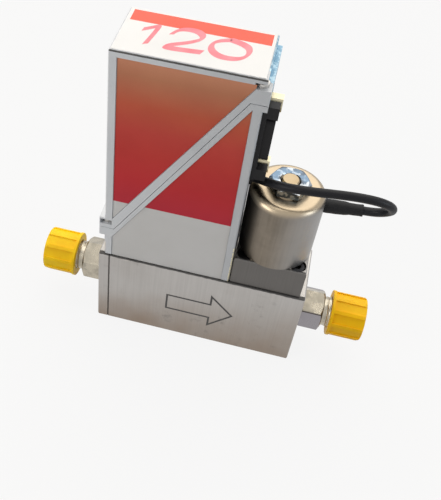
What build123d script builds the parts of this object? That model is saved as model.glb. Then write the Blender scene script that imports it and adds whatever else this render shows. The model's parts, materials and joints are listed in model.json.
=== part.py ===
from build123d import *
import math
import os

# Thermal mass flow controller with a solenoid control valve, in millimetres.
# Frame: origin at the bottom centre of the base block, +X along the flow, -Y the front, +Z up.

# ---------------------------------------------------------------- driving dimensions
# Base block and inlet end plate
block_length = 77.0  # over the end plate
block_depth = 26.0
block_height = 36.8
block_edge = 0.4
end_plate_thickness = 4.1
spigot_length = 5.0
plate_seam_edge = 0.2  # bevel on both sides of the end plate's joint
plate_screw_bite = 7.0  # thread below the plate
plate_screw_inset_y = 3.2
plate_screw_inset_z = 5.1
spigot_ring_section = 1.5
spigot_groove_gap = 0.15  # beside the ring
flow_height = 18.3
fit_gap = 0.05  # radial clearance of parts that slide together
mount_hole_spacing = 54.0
mount_hole_diameter = 3.3
mount_hole_depth = 6.0
top_hole_depth = 6.5  # tapped holes in the block's top
hole_end_gap = 1.0  # a tapped hole is this much deeper than its screw

# Flow path
flow_bore = 18.0
flow_bore_depth = 31.0
passage_bore = 5.0
riser_bore = 3.6
feed_bore = 2.8
tap_bore = 2.0
tap_spacing = 20.0
tap_from_plate = 7.9
element_length = 15.8
element_disc = 1.2
element_disc_count = 8
element_core = 8.0

# Tube fittings and their caps
hex_across_flats = 14.3
hex_length = 8.7
outlet_turn = -10.0  # how far the outlet's hexagon stopped short of upright when it was tightened
fitting_thread = 11.1
fitting_thread_length = 13.0
fitting_stub = 12.0
fitting_stub_length = 8.0
stub_end_gap = 0.5
port_ring_section = 1.0
stub_edge = 0.8
thread_edge = 0.6
hex_bevel_land = 0.5  # the bevel starts this far inside the flats
hex_bevel_angle = 30.0
tube_bore = 6.5
tube_seat_depth = 2.4
tube_seat_flare = 0.9
through_bore = 4.8
cap_diameter = 17.0
cap_collar = 17.3
cap_collar_width = 1.1
cap_length = 12.9
cap_end_round = 1.2
cap_rim_round = 0.3
cap_thread_gap = 0.3
cap_end_gap = 0.4
cap_bare_thread = 2.8  # thread left in view between hex and cap
cap_grips = 10
cap_grip_width = 4.0
cap_grip_depth = 0.7

# Control valve
valve_height = 12.9
valve_inset_x = 0.25  # the valve block stays this far inside the can
valve_inset_y = 0.8
valve_foot = 0.6
valve_foot_inset = 0.5
valve_screw_inset = 3.5
valve_screw_bite = 4.5
feed_offset = 7.0  # feed riser, upstream of the valve axis
chamber_diameter = 12.0
chamber_floor = 3.2
feed_rise = 4.0  # of the feed hole above the chamber's floor
seal_groove = 6.0
seal_groove_depth = 0.9
seal_section = 0.8
seal_mean = 4.9
orifice_diameter = 6.0
orifice_rise = 3.0
orifice_pocket = 1.6
orifice_shoulder = 0.8
orifice_bore = 1.0
orifice_seat = 2.8
sleeve_flange = 15.0
sleeve_flange_height = 3.0
sleeve_diameter = 9.6
sleeve_bore = 8.0
sleeve_groove_top = 0.9  # below the sleeve's flange face
sleeve_groove_width = 1.2
sleeve_groove_depth = 1.0
sleeve_seal_section = 0.9
plunger_gap = 0.25
seal_disc_diameter = 5.0
seal_disc_height = 1.5
seal_disc_proud = 0.3  # the seal disc stands out of the plunger's foot
plunger_length = 21.75
plunger_edge = 0.5
plunger_travel = 0.4
seat_gap = 0.05
stud_diameter = 6.0
stud_height = 3.75  # above the can
stud_edge = 0.4
spring_diameter = 4.7
spring_wire = 0.5
spring_turns = 6
spring_bore_depth = 8.0
spring_bore_gap = 0.3
spring_end_gap = 0.05

# Coil
can_diameter = 26.0
can_height = 27.35
can_wall = 1.5
can_top = 1.8
can_round = 3.0
coil_plate_thickness = 1.5
bobbin_flange = 19.8
bobbin_hub = 11.8
bobbin_thickness = 1.2
winding_diameter = 18.8
coil_gap = 0.05
coil_bore_gap = 0.1
can_clearance = 0.3  # between the can and the housing
bobbin_bore_gap = 0.15
nut_across_flats = 12.5
nut_height = 2.8
nut_bevel_land = 0.2
nut_bevel_angle = 24.0
nut_bore_edge = 0.5
nut_washer_diameter = 12.4
nut_washer_thickness = 0.5
nut_washer_gap = 0.2

# Housing of two shells that part on a diagonal
housing_width = 46.7
housing_inset_y = 0.6  # the housing's front stays this far behind the can's
housing_height = 88.8
housing_left = -36.4
housing_wall = 2.0
seam_low = 14.3
seam_high = 80.0
seam_left = 3.3
seam_right = 42.9
seam_gap = 0.2
seam_shift = 0.1  # the lower shell's diagonal, towards the valve
lug_left = 2.0
lug_right = 1.5
upper_strip = 4.8  # height of the upper cover's lug, above the seam
upper_strip_right = 5.1
lower_strip = 4.0  # height of the lower cover's lug, below the seam
lower_strip_right = 2.3
frame_left = 2.6
frame_right = 2.7
frame_top = 2.2
panel_recess = 0.5
panel_lug_gap = 0.3
label_thickness = 0.2
label_gap = 0.15
top_label_inset = 0.6
boss_depth = 6.2
boss_width = 6.0
boss_drop = 6.5
housing_edge = 0.4
lug_screw_depth = 2.8  # from the front face to the lug screws' axis
lug_screw_bite = 5.0
lug_screw_rise = 1.7  # of the left screw's head above the seam
lug_screw_left = 0.4
lug_screw_right = 1.3
pocket_height = 2.2
pocket_gap = 0.2
floor_window_gap = 0.3
floor_screw_length = 8.0
floor_screw_inset = 3.4

# Sensor and electronics
sensor_base_length = 35.4
sensor_base_depth = 12.0
sensor_base_height = 8.0
sensor_wall_gap = 0.2
sensor_screw_inset = 2.9
sensor_cover_height = 16.0
sensor_cover_wall = 1.0
sensor_cover_depth = 9.0
capillary_diameter = 0.9
capillary_rise = 10.0
capillary_bend = 3.0
capillary_foot = 2.0  # of the capillary above the block
tap_seal_groove = 5.2
tap_seal_depth = 0.9
tap_seal_mean = 4.2
tap_seal_section = 0.8
winding_side_gap = 0.6
winding_bore_gap = 0.02
winding_length = 5.0
winding_thickness = 0.5
sensor_screw_bite = 6.0
board_thickness = 1.6
board_height = 58.8
board_gap = 0.5
board_inset = 3.4  # from the board's right edge to the housing's right face
processor_side = 10.0
amplifier_width = 9.0
amplifier_height = 6.0
regulator_width = 7.0
regulator_height = 5.0
chip_thickness = 1.6
lower_row = 14.0  # heights of the parts above the board's foot
middle_row = 22.0
upper_row = 38.0
top_row = 44.0
left_column = 10.0  # from the board's left edge
second_column = 19.0
right_column = 26.0
regulator_shift = 2.0
capacitor_drop = 2.0
capacitor_diameter = 6.3
capacitor_length = 8.0
capacitor_edge = 0.4

# Connector on the right wall
connector_height = 97.4
jackscrew_spacing = 25.0
jackscrew_across_flats = 4.8
jackscrew_reach = 5.3  # past the housing wall
flange_end = 2.9  # of the flange past each jackscrew's axis
flange_depth = 12.5
flange_thickness = 1.5
flange_round = 0.8
flange_window_gap = 0.1
end_lug_height = 4.4
end_lug_depth = 3.5
end_lug_reach = 4.9
collar_length = 16.9
collar_depth = 8.4
collar_reach = 4.4
collar_wall = 0.8
collar_taper = 1.2  # the long side of the D is this much wider at each end
collar_round = 1.6
jackscrew_bore = 2.5
jackscrew_bore_depth = 4.5
jackscrew_shank = 2.8
pin_root = 1.5  # depth of the pins' sockets behind the flange
pin_reach = 2.4  # past the flange
pin_diameter = 1.0
pin_pitch = 2.76
pin_row = 2.84
window_margin = 0.7
jackscrew_hole = 3.0

# Valve lead
lead_diameter = 3.0
grommet_y = -1.0
grommet_height = 78.9
grommet_flange = 5.2
grommet_neck = 4.4
grommet_front = 1.0
grommet_back = 0.8
boot_drop = 4.95  # below the can's top
boot_root = 4.9
boot_tip = 4.0
boot_length = 14.4
boot_hole_gap = 0.25
boot_overlap = 0.3  # into the can's wall
boot_tilt = 5.9

# Screws: shank, head diameter, head height, socket across flats
m3_shank, m3_head, m3_head_height, m3_socket = 3.0, 5.5, 3.0, 2.5
m2_shank, m2_head, m2_head_height, m2_socket = 2.0, 3.8, 1.4, 1.5
screw_gap = 0.1
head_gap = 0.3
head_sink = 0.4  # valve block's screw heads sit this far below its top
countersunk_head = 5.6
countersunk_socket = 2.0
ring_gap = 0.05

# ---------------------------------------------------------------- derived places
block_left = -block_length / 2
block_right = block_length / 2
body_left = block_left + end_plate_thickness
tap_xs = [body_left + tap_from_plate, body_left + tap_from_plate + tap_spacing]
element_x = (tap_xs[0] + tap_xs[1]) / 2
housing_right = housing_left + housing_width
valve_x = housing_right + can_clearance + can_diameter / 2
valve_length = can_diameter - 2 * valve_inset_x
valve_depth = can_diameter - 2 * valve_inset_y
housing_depth = can_diameter - 2 * housing_inset_y
feed_x = valve_x - feed_offset
valve_top = block_height + valve_height
can_top_z = valve_top + can_height
boot_height = can_top_z - boot_drop
housing_top = block_height + housing_height
housing_x = housing_left + housing_width / 2
inner_left = housing_left + housing_wall
inner_right = housing_right - housing_wall
inner_depth = housing_depth - 2 * housing_wall
sensor_top = block_height + sensor_base_height
sensor_cover_top = sensor_top + sensor_cover_height
sensor_base_x = inner_left + sensor_wall_gap + sensor_base_length / 2
sensor_screw_xs = [
    sensor_base_x - sensor_base_length / 2 + sensor_screw_inset,
    sensor_base_x + sensor_base_length / 2 - sensor_screw_inset,
]
valve_screw_x = valve_length / 2 - valve_screw_inset
valve_screw_y = valve_depth / 2 - valve_screw_inset
floor_screw_x = inner_right - floor_screw_inset
floor_screw_y = inner_depth / 2 - floor_screw_inset
plate_screw_y = block_depth / 2 - plate_screw_inset_y
plate_screw_z = block_height / 2 - plate_screw_inset_z
port_ring_bore = fitting_stub + 2 * port_ring_section
port_groove = port_ring_section + 2 * ring_gap
flange_length = jackscrew_spacing + 2 * flange_end
seam_head_z = seam_high + upper_strip_right


def save(builder, name):
    """Label a finished sub-part and write it as its own STEP file."""
    builder.part.label = name
    export_step(builder.part, f"parts/{name}.step")


def ring(mean_diameter, section, plane):
    """One O-ring, centred on a plane's origin and lying in that plane."""
    with BuildPart(plane) as seal:
        Torus(mean_diameter / 2, section / 2)
    return seal.part


def bevel_ring(across_flats, land, angle, side):
    """Profile that bevels a hexagon's end: a triangle outside its flats, towards +Z for side 1, -Z for -1."""
    inner = across_flats / 2 - land
    outer = across_flats / math.sqrt(3) + land
    rise = (outer - inner) * math.tan(math.radians(angle))
    return [(inner, 0), (outer, 0), (outer, side * rise)]


def socket_screw(shank, length, head, head_height, socket):
    """Socket head screw along Z, its head seated on z = 0 and its shank below."""
    with BuildPart() as screw:
        Cylinder(shank / 2, length, align=(Align.CENTER, Align.CENTER, Align.MAX))
        Cylinder(head / 2, head_height, align=(Align.CENTER, Align.CENTER, Align.MIN))
        chamfer(screw.edges().sort_by(Axis.Z)[-1], head_height / 10)
        with BuildSketch(Plane.XY.offset(head_height)):
            RegularPolygon(socket / 2, 6, major_radius=False)
        extrude(amount=-head_height * 0.6, mode=Mode.SUBTRACT)
    return screw.part


def countersunk_screw(shank, length, head, socket):
    """Countersunk screw along Z, its head flush with z = 0 and its shank below."""
    cone = (head - shank) / 2
    with BuildPart() as screw:
        with BuildSketch(Plane.XZ):
            with BuildLine():
                Polyline(
                    (0, 0), (head / 2, 0), (shank / 2, -cone), (shank / 2, -length), (0, -length), close=True
                )
            make_face()
        revolve(axis=Axis.Z)
        with BuildSketch(Plane.XY):
            RegularPolygon(socket / 2, 6, major_radius=False)
        extrude(amount=-cone * 0.9, mode=Mode.SUBTRACT)
    return screw.part


os.makedirs("parts", exist_ok=True)

# ---------------------------------------------------------------- base block
flow_axis = Plane(origin=(0, 0, flow_height), x_dir=(0, 1, 0), z_dir=(1, 0, 0))
outlet_face = flow_axis.offset(block_right)
inlet_face = Plane(origin=(block_left, 0, flow_height), x_dir=(0, 1, 0), z_dir=(-1, 0, 0))
block_top = Plane.XY.offset(block_height)

with BuildPart() as base_block:
    with BuildSketch(Plane.XY):
        with Locations(((body_left + block_right) / 2, 0)):
            Rectangle(block_right - body_left, block_depth)
    extrude(amount=block_height)
    chamfer(base_block.edges().filter_by(Axis.X), block_edge)
    chamfer(base_block.faces().sort_by(Axis.X)[-1].edges(), block_edge)
    chamfer(base_block.faces().sort_by(Axis.X)[0].edges(), plate_seam_edge)
    # flow bore, then the passage to the feed riser
    with BuildSketch(flow_axis.offset(body_left)):
        Circle(flow_bore / 2)
    extrude(amount=flow_bore_depth, mode=Mode.SUBTRACT)
    with BuildSketch(flow_axis.offset(body_left)):
        Circle(passage_bore / 2)
    extrude(amount=feed_x + passage_bore / 2 - body_left, mode=Mode.SUBTRACT)
    # outlet passage and port
    with BuildSketch(flow_axis.offset(block_right)):
        Circle(passage_bore / 2)
    extrude(amount=valve_x - passage_bore / 2 - block_right, mode=Mode.SUBTRACT)
    with BuildSketch(flow_axis.offset(block_right)):
        Circle(fitting_stub / 2)
    extrude(amount=-fitting_stub_length - stub_end_gap, mode=Mode.SUBTRACT)
    with BuildSketch(flow_axis.offset(block_right)):
        Circle(port_ring_bore / 2)
    extrude(amount=-port_groove, mode=Mode.SUBTRACT)
    # risers to the valve and taps to the sensor
    with BuildSketch(block_top):
        with Locations((feed_x, 0), (valve_x, 0)):
            Circle(riser_bore / 2)
        with Locations(*[(x, 0) for x in tap_xs]):
            Circle(tap_bore / 2)
    extrude(amount=flow_height - block_height, mode=Mode.SUBTRACT)
    # tapped holes for the valve, the sensor base and the lower cover
    with BuildSketch(block_top):
        with Locations((valve_x, 0)):
            with GridLocations(2 * valve_screw_x, 2 * valve_screw_y, 2, 2):
                Circle(m3_shank / 2 + fit_gap)
        with Locations(*[(x, 0) for x in sensor_screw_xs]):
            Circle(m3_shank / 2 + fit_gap)
        with Locations((floor_screw_x, floor_screw_y), (floor_screw_x, -floor_screw_y)):
            Circle(m3_shank / 2 + fit_gap)
    extrude(amount=-top_hole_depth, mode=Mode.SUBTRACT)
    # tapped holes for the end plate
    with BuildSketch(flow_axis.offset(body_left)):
        with Locations((0, block_height / 2 - flow_height)):
            with GridLocations(2 * plate_screw_y, 2 * plate_screw_z, 2, 2):
                Circle(m3_shank / 2 + fit_gap)
    extrude(amount=plate_screw_bite + hole_end_gap, mode=Mode.SUBTRACT)
    # tapped mounting holes in the base
    with BuildSketch(Plane.XY):
        with GridLocations(mount_hole_spacing, 1, 2, 1):
            Circle(mount_hole_diameter / 2)
    extrude(amount=mount_hole_depth, mode=Mode.SUBTRACT)
save(base_block, "base_block")

# ---------------------------------------------------------------- inlet end plate
spigot_groove = flow_bore - 2 * spigot_ring_section
spigot_groove_width = spigot_ring_section + 2 * spigot_groove_gap
spigot_ring_x = body_left + spigot_length / 2

with BuildPart() as inlet_end_plate:
    with BuildSketch(flow_axis.offset(block_left)):
        with Locations((0, block_height / 2 - flow_height)):
            Rectangle(block_depth, block_height)
    extrude(amount=end_plate_thickness)
    chamfer(inlet_end_plate.edges().filter_by(Axis.X), block_edge)
    chamfer(inlet_end_plate.faces().sort_by(Axis.X)[0].edges(), block_edge)
    chamfer(inlet_end_plate.faces().sort_by(Axis.X)[-1].edges(), plate_seam_edge)
    with BuildSketch(flow_axis.offset(body_left)):
        Circle(flow_bore / 2 - fit_gap)
    extrude(amount=spigot_length)
    with BuildSketch(flow_axis.offset(spigot_ring_x - spigot_groove_width / 2)):
        Circle(flow_bore / 2)
        Circle(spigot_groove / 2, mode=Mode.SUBTRACT)
    extrude(amount=spigot_groove_width, mode=Mode.SUBTRACT)
    with BuildSketch(flow_axis.offset(block_left)):
        Circle(fitting_stub / 2)
    extrude(amount=end_plate_thickness + spigot_length, mode=Mode.SUBTRACT)
    with BuildSketch(flow_axis.offset(block_left)):
        Circle(port_ring_bore / 2)
    extrude(amount=port_groove, mode=Mode.SUBTRACT)
    with Locations(inlet_face):
        with Locations((0, flow_height - block_height / 2)):
            with GridLocations(2 * plate_screw_y, 2 * plate_screw_z, 2, 2):
                CounterSinkHole(
                    m3_shank / 2 + fit_gap,
                    countersunk_head / 2 + fit_gap,
                    end_plate_thickness,
                    counter_sink_angle=90,
                )
save(inlet_end_plate, "inlet_end_plate")

with BuildPart() as end_plate_screws:
    with Locations(inlet_face):
        with Locations((0, flow_height - block_height / 2)):
            with GridLocations(2 * plate_screw_y, 2 * plate_screw_z, 2, 2):
                add(
                    countersunk_screw(
                        m3_shank,
                        end_plate_thickness + plate_screw_bite,
                        countersunk_head,
                        countersunk_socket,
                    )
                )
save(end_plate_screws, "end_plate_screws")

with BuildPart() as end_plate_seal:
    add(
        ring(
            flow_bore - spigot_ring_section,
            spigot_ring_section - 2 * ring_gap,
            flow_axis.offset(spigot_ring_x),
        )
    )
save(end_plate_seal, "end_plate_seal")

# ---------------------------------------------------------------- laminar flow element
disc_pitch = (element_length - element_disc) / (element_disc_count - 1)

with BuildPart(flow_axis.offset(element_x)) as laminar_flow_element:
    Cylinder(element_core / 2, element_length)
    for k in range(element_disc_count):
        with Locations((0, 0, (k - (element_disc_count - 1) / 2) * disc_pitch)):
            Cylinder(flow_bore / 2 - fit_gap, element_disc)
    chamfer(laminar_flow_element.faces().sort_by(Axis.X)[0].edges(), element_disc / 4)
save(laminar_flow_element, "laminar_flow_element")

# ---------------------------------------------------------------- tube fittings and caps
# One fitting along Z: its stub below z = 0, hexagon and threaded end above.
with BuildPart() as fitting:
    Cylinder(
        fitting_stub / 2 - fit_gap, fitting_stub_length, align=(Align.CENTER, Align.CENTER, Align.MAX)
    )
    chamfer(fitting.edges().sort_by(Axis.Z)[0], stub_edge)
    with BuildSketch(Plane.XY):
        RegularPolygon(hex_across_flats / 2, 6, major_radius=False, rotation=30)
    extrude(amount=hex_length)
    with BuildSketch(Plane.XZ):
        Polygon(*bevel_ring(hex_across_flats, hex_bevel_land, hex_bevel_angle, 1), align=None)
        with Locations((0, hex_length)):
            Polygon(*bevel_ring(hex_across_flats, hex_bevel_land, hex_bevel_angle, -1), align=None)
    revolve(axis=Axis.Z, mode=Mode.SUBTRACT)
    with BuildSketch(Plane.XY.offset(hex_length)):
        Circle(fitting_thread / 2)
    extrude(amount=fitting_thread_length)
    chamfer(fitting.edges().sort_by(Axis.Z)[-1], thread_edge)
    # the tube stops level with the hexagon
    with BuildSketch(Plane.XY.offset(hex_length)):
        Circle(tube_bore / 2)
    extrude(amount=fitting_thread_length, mode=Mode.SUBTRACT)
    with BuildSketch(Plane.XY.offset(-fitting_stub_length)):
        Circle(through_bore / 2)
    extrude(amount=fitting_stub_length + hex_length, mode=Mode.SUBTRACT)
    # the ferrule seat at the mouth
    with BuildSketch(Plane.XZ):
        with BuildLine():
            Polyline(
                (0, hex_length + fitting_thread_length),
                (tube_bore / 2 + tube_seat_flare, hex_length + fitting_thread_length),
                (tube_bore / 2, hex_length + fitting_thread_length - tube_seat_depth),
                (0, hex_length + fitting_thread_length - tube_seat_depth),
                close=True,
            )
        make_face()
    revolve(axis=Axis.Z, mode=Mode.SUBTRACT)

# One cap along Z, its open rim at z = 0: a collar, a skirt with sunk grip faces and a rounded closed end.
cap_depth = fitting_thread_length - cap_bare_thread + cap_end_gap

with BuildPart() as cap:
    Cylinder(cap_diameter / 2, cap_length, align=(Align.CENTER, Align.CENTER, Align.MIN))
    fillet(cap.faces().sort_by(Axis.Z)[-1].edges(), cap_end_round)
    with BuildSketch(Plane.XY.offset(cap_collar_width)):
        with PolarLocations(cap_diameter / 2 - cap_grip_depth, cap_grips):
            Rectangle(cap_grip_depth + 1, cap_grip_width, align=(Align.MIN, Align.CENTER))
    extrude(amount=cap_length, mode=Mode.SUBTRACT)
    Cylinder(cap_collar / 2, cap_collar_width, align=(Align.CENTER, Align.CENTER, Align.MIN))
    with BuildSketch(Plane.XY):
        Circle(fitting_thread / 2 + cap_thread_gap)
    extrude(amount=cap_depth, mode=Mode.SUBTRACT)
    fillet(cap.edges().filter_by(GeomType.CIRCLE).group_by(Axis.Z)[0], cap_rim_round)

cap_seat = hex_length + cap_bare_thread

with BuildPart() as inlet_fitting:
    with Locations(inlet_face):
        add(fitting.part)
save(inlet_fitting, "inlet_fitting")

with BuildPart() as outlet_fitting:
    with Locations(outlet_face):
        add(fitting.part, rotation=(0, 0, outlet_turn))
save(outlet_fitting, "outlet_fitting")

with BuildPart() as inlet_cap:
    with Locations(inlet_face.offset(cap_seat)):
        add(cap.part)
save(inlet_cap, "inlet_cap")

with BuildPart() as outlet_cap:
    with Locations(outlet_face.offset(cap_seat)):
        add(cap.part)
save(outlet_cap, "outlet_cap")

with BuildPart() as fitting_seals:
    for face in (inlet_face, outlet_face):
        add(
            ring(
                fitting_stub + port_ring_section,
                port_ring_section - 2 * ring_gap,
                face.offset(-port_ring_section / 2 - ring_gap),
            )
        )
save(fitting_seals, "fitting_seals")

# ---------------------------------------------------------------- control valve
valve_axis = Plane.XY.offset(block_height).shift_origin((valve_x, 0, block_height))
chamber_floor_z = block_height + chamber_floor
seat_z = chamber_floor_z + orifice_rise
sleeve_top_z = can_top_z - can_top - fit_gap
groove_top_z = valve_top - sleeve_groove_top
sleeve_seal_z = groove_top_z - sleeve_groove_width / 2
plunger_bottom_z = seat_z + seat_gap + seal_disc_proud
core_z = plunger_bottom_z + plunger_length + plunger_travel + seat_gap

with BuildPart() as valve_block:
    with BuildSketch(valve_axis):
        Rectangle(valve_length - 2 * valve_foot_inset, valve_depth - 2 * valve_foot_inset)
    extrude(amount=valve_foot)
    with BuildSketch(valve_axis.offset(valve_foot)):
        Rectangle(valve_length, valve_depth)
    extrude(amount=valve_height - valve_foot)
    chamfer(valve_block.edges().filter_by(Axis.Z).sort_by_distance((valve_x, 0, valve_top))[-4:], block_edge)
    chamfer(valve_block.faces().sort_by(Axis.Z)[-1].edges(), block_edge)
    # chamber, sleeve seat and orifice pocket
    with BuildSketch(valve_axis.offset(valve_height)):
        Circle(chamber_diameter / 2)
    extrude(amount=chamber_floor - valve_height, mode=Mode.SUBTRACT)
    with BuildSketch(valve_axis.offset(valve_height)):
        Circle(sleeve_flange / 2 + fit_gap)
    extrude(amount=-sleeve_flange_height, mode=Mode.SUBTRACT)
    with BuildSketch(valve_axis.offset(chamber_floor)):
        Circle(orifice_diameter / 2 + fit_gap)
    extrude(amount=-orifice_pocket, mode=Mode.SUBTRACT)
    # risers, their seal grooves and the screw holes
    with BuildSketch(valve_axis):
        Circle(riser_bore / 2)
        with Locations((-feed_offset, 0)):
            Circle(feed_bore / 2)
    extrude(amount=chamber_floor, mode=Mode.SUBTRACT)
    with BuildSketch(valve_axis):
        with Locations((-feed_offset, 0)):
            Circle(feed_bore / 2)
    extrude(amount=chamber_floor + feed_rise, mode=Mode.SUBTRACT)
    with BuildSketch(valve_axis):
        Circle(seal_groove / 2)
        with Locations((-feed_offset, 0)):
            Circle(seal_groove / 2)
    extrude(amount=seal_groove_depth, mode=Mode.SUBTRACT)
    with Locations(valve_axis.offset(valve_height)):
        with GridLocations(2 * valve_screw_x, 2 * valve_screw_y, 2, 2):
            CounterBoreHole(
                m3_shank / 2 + screw_gap, m3_head / 2 + head_gap, m3_head_height + head_sink, valve_height
            )
save(valve_block, "valve_block")

with BuildPart() as valve_block_seals:
    for offset_x in (0, -feed_offset):
        add(
            ring(
                seal_mean,
                seal_section,
                Plane.XY.offset(block_height + seal_groove_depth / 2).shift_origin(
                    (valve_x + offset_x, 0, block_height + seal_groove_depth / 2)
                ),
            )
        )
save(valve_block_seals, "valve_block_seals")

with BuildPart() as valve_block_screws:
    head_seat = valve_height - m3_head_height - head_sink
    with Locations(valve_axis.offset(head_seat)):
        with GridLocations(2 * valve_screw_x, 2 * valve_screw_y, 2, 2):
            add(socket_screw(m3_shank, head_seat + valve_screw_bite, m3_head, m3_head_height, m3_socket))
save(valve_block_screws, "valve_block_screws")

with BuildPart() as valve_orifice:
    with BuildSketch(Plane.XZ):
        with BuildLine():
            Polyline(
                (orifice_bore / 2, chamber_floor_z - orifice_pocket),
                (orifice_diameter / 2, chamber_floor_z - orifice_pocket),
                (orifice_diameter / 2, chamber_floor_z + orifice_shoulder),
                (orifice_seat / 2, seat_z),
                (orifice_bore / 2, seat_z),
                close=True,
            )
        make_face()
    revolve(axis=Axis.Z)
    valve_orifice.part.position = (valve_x, 0, 0)
save(valve_orifice, "valve_orifice")

with BuildPart() as valve_sleeve:
    with BuildSketch(Plane.XZ):
        with BuildLine():
            Polyline(
                (sleeve_bore / 2, valve_top - sleeve_flange_height),
                (sleeve_flange / 2, valve_top - sleeve_flange_height),
                (sleeve_flange / 2, groove_top_z - sleeve_groove_width),
                (sleeve_flange / 2 - sleeve_groove_depth, groove_top_z - sleeve_groove_width),
                (sleeve_flange / 2 - sleeve_groove_depth, groove_top_z),
                (sleeve_flange / 2, groove_top_z),
                (sleeve_flange / 2, valve_top),
                (sleeve_diameter / 2, valve_top),
                (sleeve_diameter / 2, sleeve_top_z),
                (stud_diameter / 2, sleeve_top_z),
                (stud_diameter / 2, can_top_z + stud_height - stud_edge),
                (stud_diameter / 2 - stud_edge, can_top_z + stud_height),
                (0, can_top_z + stud_height),
                (0, core_z),
                (sleeve_bore / 2, core_z),
                close=True,
            )
        make_face()
    revolve(axis=Axis.Z)
    valve_sleeve.part.position = (valve_x, 0, 0)
save(valve_sleeve, "valve_sleeve")

with BuildPart() as sleeve_seal:
    add(
        ring(
            sleeve_flange - sleeve_groove_depth,
            sleeve_seal_section,
            Plane.XY.offset(sleeve_seal_z).shift_origin((valve_x, 0, sleeve_seal_z)),
        )
    )
save(sleeve_seal, "sleeve_seal")

plunger_axis = Plane(origin=(valve_x, 0, plunger_bottom_z), z_dir=(0, 0, 1))

with BuildPart(plunger_axis) as plunger:
    Cylinder(sleeve_bore / 2 - plunger_gap, plunger_length, align=(Align.CENTER, Align.CENTER, Align.MIN))
    chamfer(plunger.edges().group_by(Axis.Z)[0], plunger_edge)
    chamfer(plunger.edges().group_by(Axis.Z)[-1], plunger_edge)
    with BuildSketch(plunger_axis):
        Circle(seal_disc_diameter / 2 + fit_gap)
    extrude(amount=seal_disc_height - seal_disc_proud, mode=Mode.SUBTRACT)
    with BuildSketch(plunger_axis.offset(plunger_length)):
        Circle(spring_diameter / 2 + spring_bore_gap)
    extrude(amount=-spring_bore_depth, mode=Mode.SUBTRACT)
save(plunger, "plunger")

with BuildPart(plunger_axis.offset(-seal_disc_proud)) as plunger_seal:
    Cylinder(seal_disc_diameter / 2, seal_disc_height, align=(Align.CENTER, Align.CENTER, Align.MIN))
save(plunger_seal, "plunger_seal")

spring_length = spring_bore_depth + plunger_travel - 2 * spring_end_gap
coil_height = spring_length - spring_wire
spring_foot = plunger_axis.offset(plunger_length - spring_bore_depth + spring_end_gap + spring_wire / 2)
spring_radius = (spring_diameter - spring_wire) / 2

with BuildPart() as plunger_spring:
    with BuildLine():
        spring_path = Helix(
            coil_height / spring_turns, coil_height, spring_radius, center=spring_foot.origin
        )
    with BuildSketch(Plane(origin=spring_path @ 0, z_dir=spring_path % 0)):
        Circle(spring_wire / 2)
    sweep()
save(plunger_spring, "plunger_spring")

# ---------------------------------------------------------------- coil
boot_hole = boot_root / 2 + boot_hole_gap
can_axis = valve_axis.offset(valve_height)

with BuildPart() as coil_can:
    with BuildSketch(can_axis):
        Circle(can_diameter / 2)
    extrude(amount=can_height)
    fillet(coil_can.edges().group_by(Axis.Z)[-1], can_round)
    with BuildSketch(can_axis):
        Circle(can_diameter / 2 - can_wall)
    extrude(amount=can_height - can_top, mode=Mode.SUBTRACT)
    inner_rim = coil_can.faces().filter_by(Plane.XY).group_by(Axis.Z)[-2].edges()
    fillet(inner_rim, can_round - can_wall)
    with BuildSketch(can_axis.offset(can_height)):
        Circle(stud_diameter / 2 + coil_bore_gap)
    extrude(amount=-can_top, mode=Mode.SUBTRACT)
    with BuildSketch(Plane(origin=(valve_x, 0, boot_height), z_dir=(1, 0, 0))):
        Circle(boot_hole)
    extrude(amount=can_diameter, mode=Mode.SUBTRACT)
save(coil_can, "coil_can")

with BuildPart(can_axis) as coil_plate:
    Cylinder(
        can_diameter / 2 - can_wall - coil_bore_gap,
        coil_plate_thickness,
        align=(Align.CENTER, Align.CENTER, Align.MIN),
    )
    with BuildSketch(can_axis):
        Circle(sleeve_diameter / 2 + coil_bore_gap)
    extrude(amount=coil_plate_thickness, mode=Mode.SUBTRACT)
save(coil_plate, "coil_plate")

bobbin_foot = can_axis.offset(coil_plate_thickness + coil_gap)
bobbin_height = can_height - can_top - coil_plate_thickness - 3 * coil_gap

with BuildPart(bobbin_foot) as coil_bobbin:
    Cylinder(bobbin_hub / 2, bobbin_height, align=(Align.CENTER, Align.CENTER, Align.MIN))
    Cylinder(bobbin_flange / 2, bobbin_thickness, align=(Align.CENTER, Align.CENTER, Align.MIN))
    with Locations((0, 0, bobbin_height)):
        Cylinder(bobbin_flange / 2, bobbin_thickness, align=(Align.CENTER, Align.CENTER, Align.MAX))
    with BuildSketch(bobbin_foot):
        Circle(sleeve_diameter / 2 + bobbin_bore_gap)
    extrude(amount=bobbin_height, mode=Mode.SUBTRACT)
save(coil_bobbin, "coil_bobbin")

winding_foot = bobbin_foot.offset(bobbin_thickness + coil_gap)
winding_height = bobbin_height - 2 * bobbin_thickness - 2 * coil_gap

with BuildPart() as coil_winding:
    with BuildSketch(winding_foot):
        Circle(winding_diameter / 2)
        Circle(bobbin_hub / 2 + coil_gap, mode=Mode.SUBTRACT)
    extrude(amount=winding_height)
save(coil_winding, "coil_winding")

nut_seat = valve_axis.offset(valve_height + can_height)

with BuildPart() as nut_washer:
    with BuildSketch(nut_seat):
        Circle(nut_washer_diameter / 2)
        Circle(stud_diameter / 2 + nut_washer_gap, mode=Mode.SUBTRACT)
    extrude(amount=nut_washer_thickness)
save(nut_washer, "nut_washer")

nut_top_z = can_top_z + nut_washer_thickness + nut_height
nut_section = Plane(origin=(valve_x, 0, nut_top_z), x_dir=(1, 0, 0), z_dir=(0, -1, 0))

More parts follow.
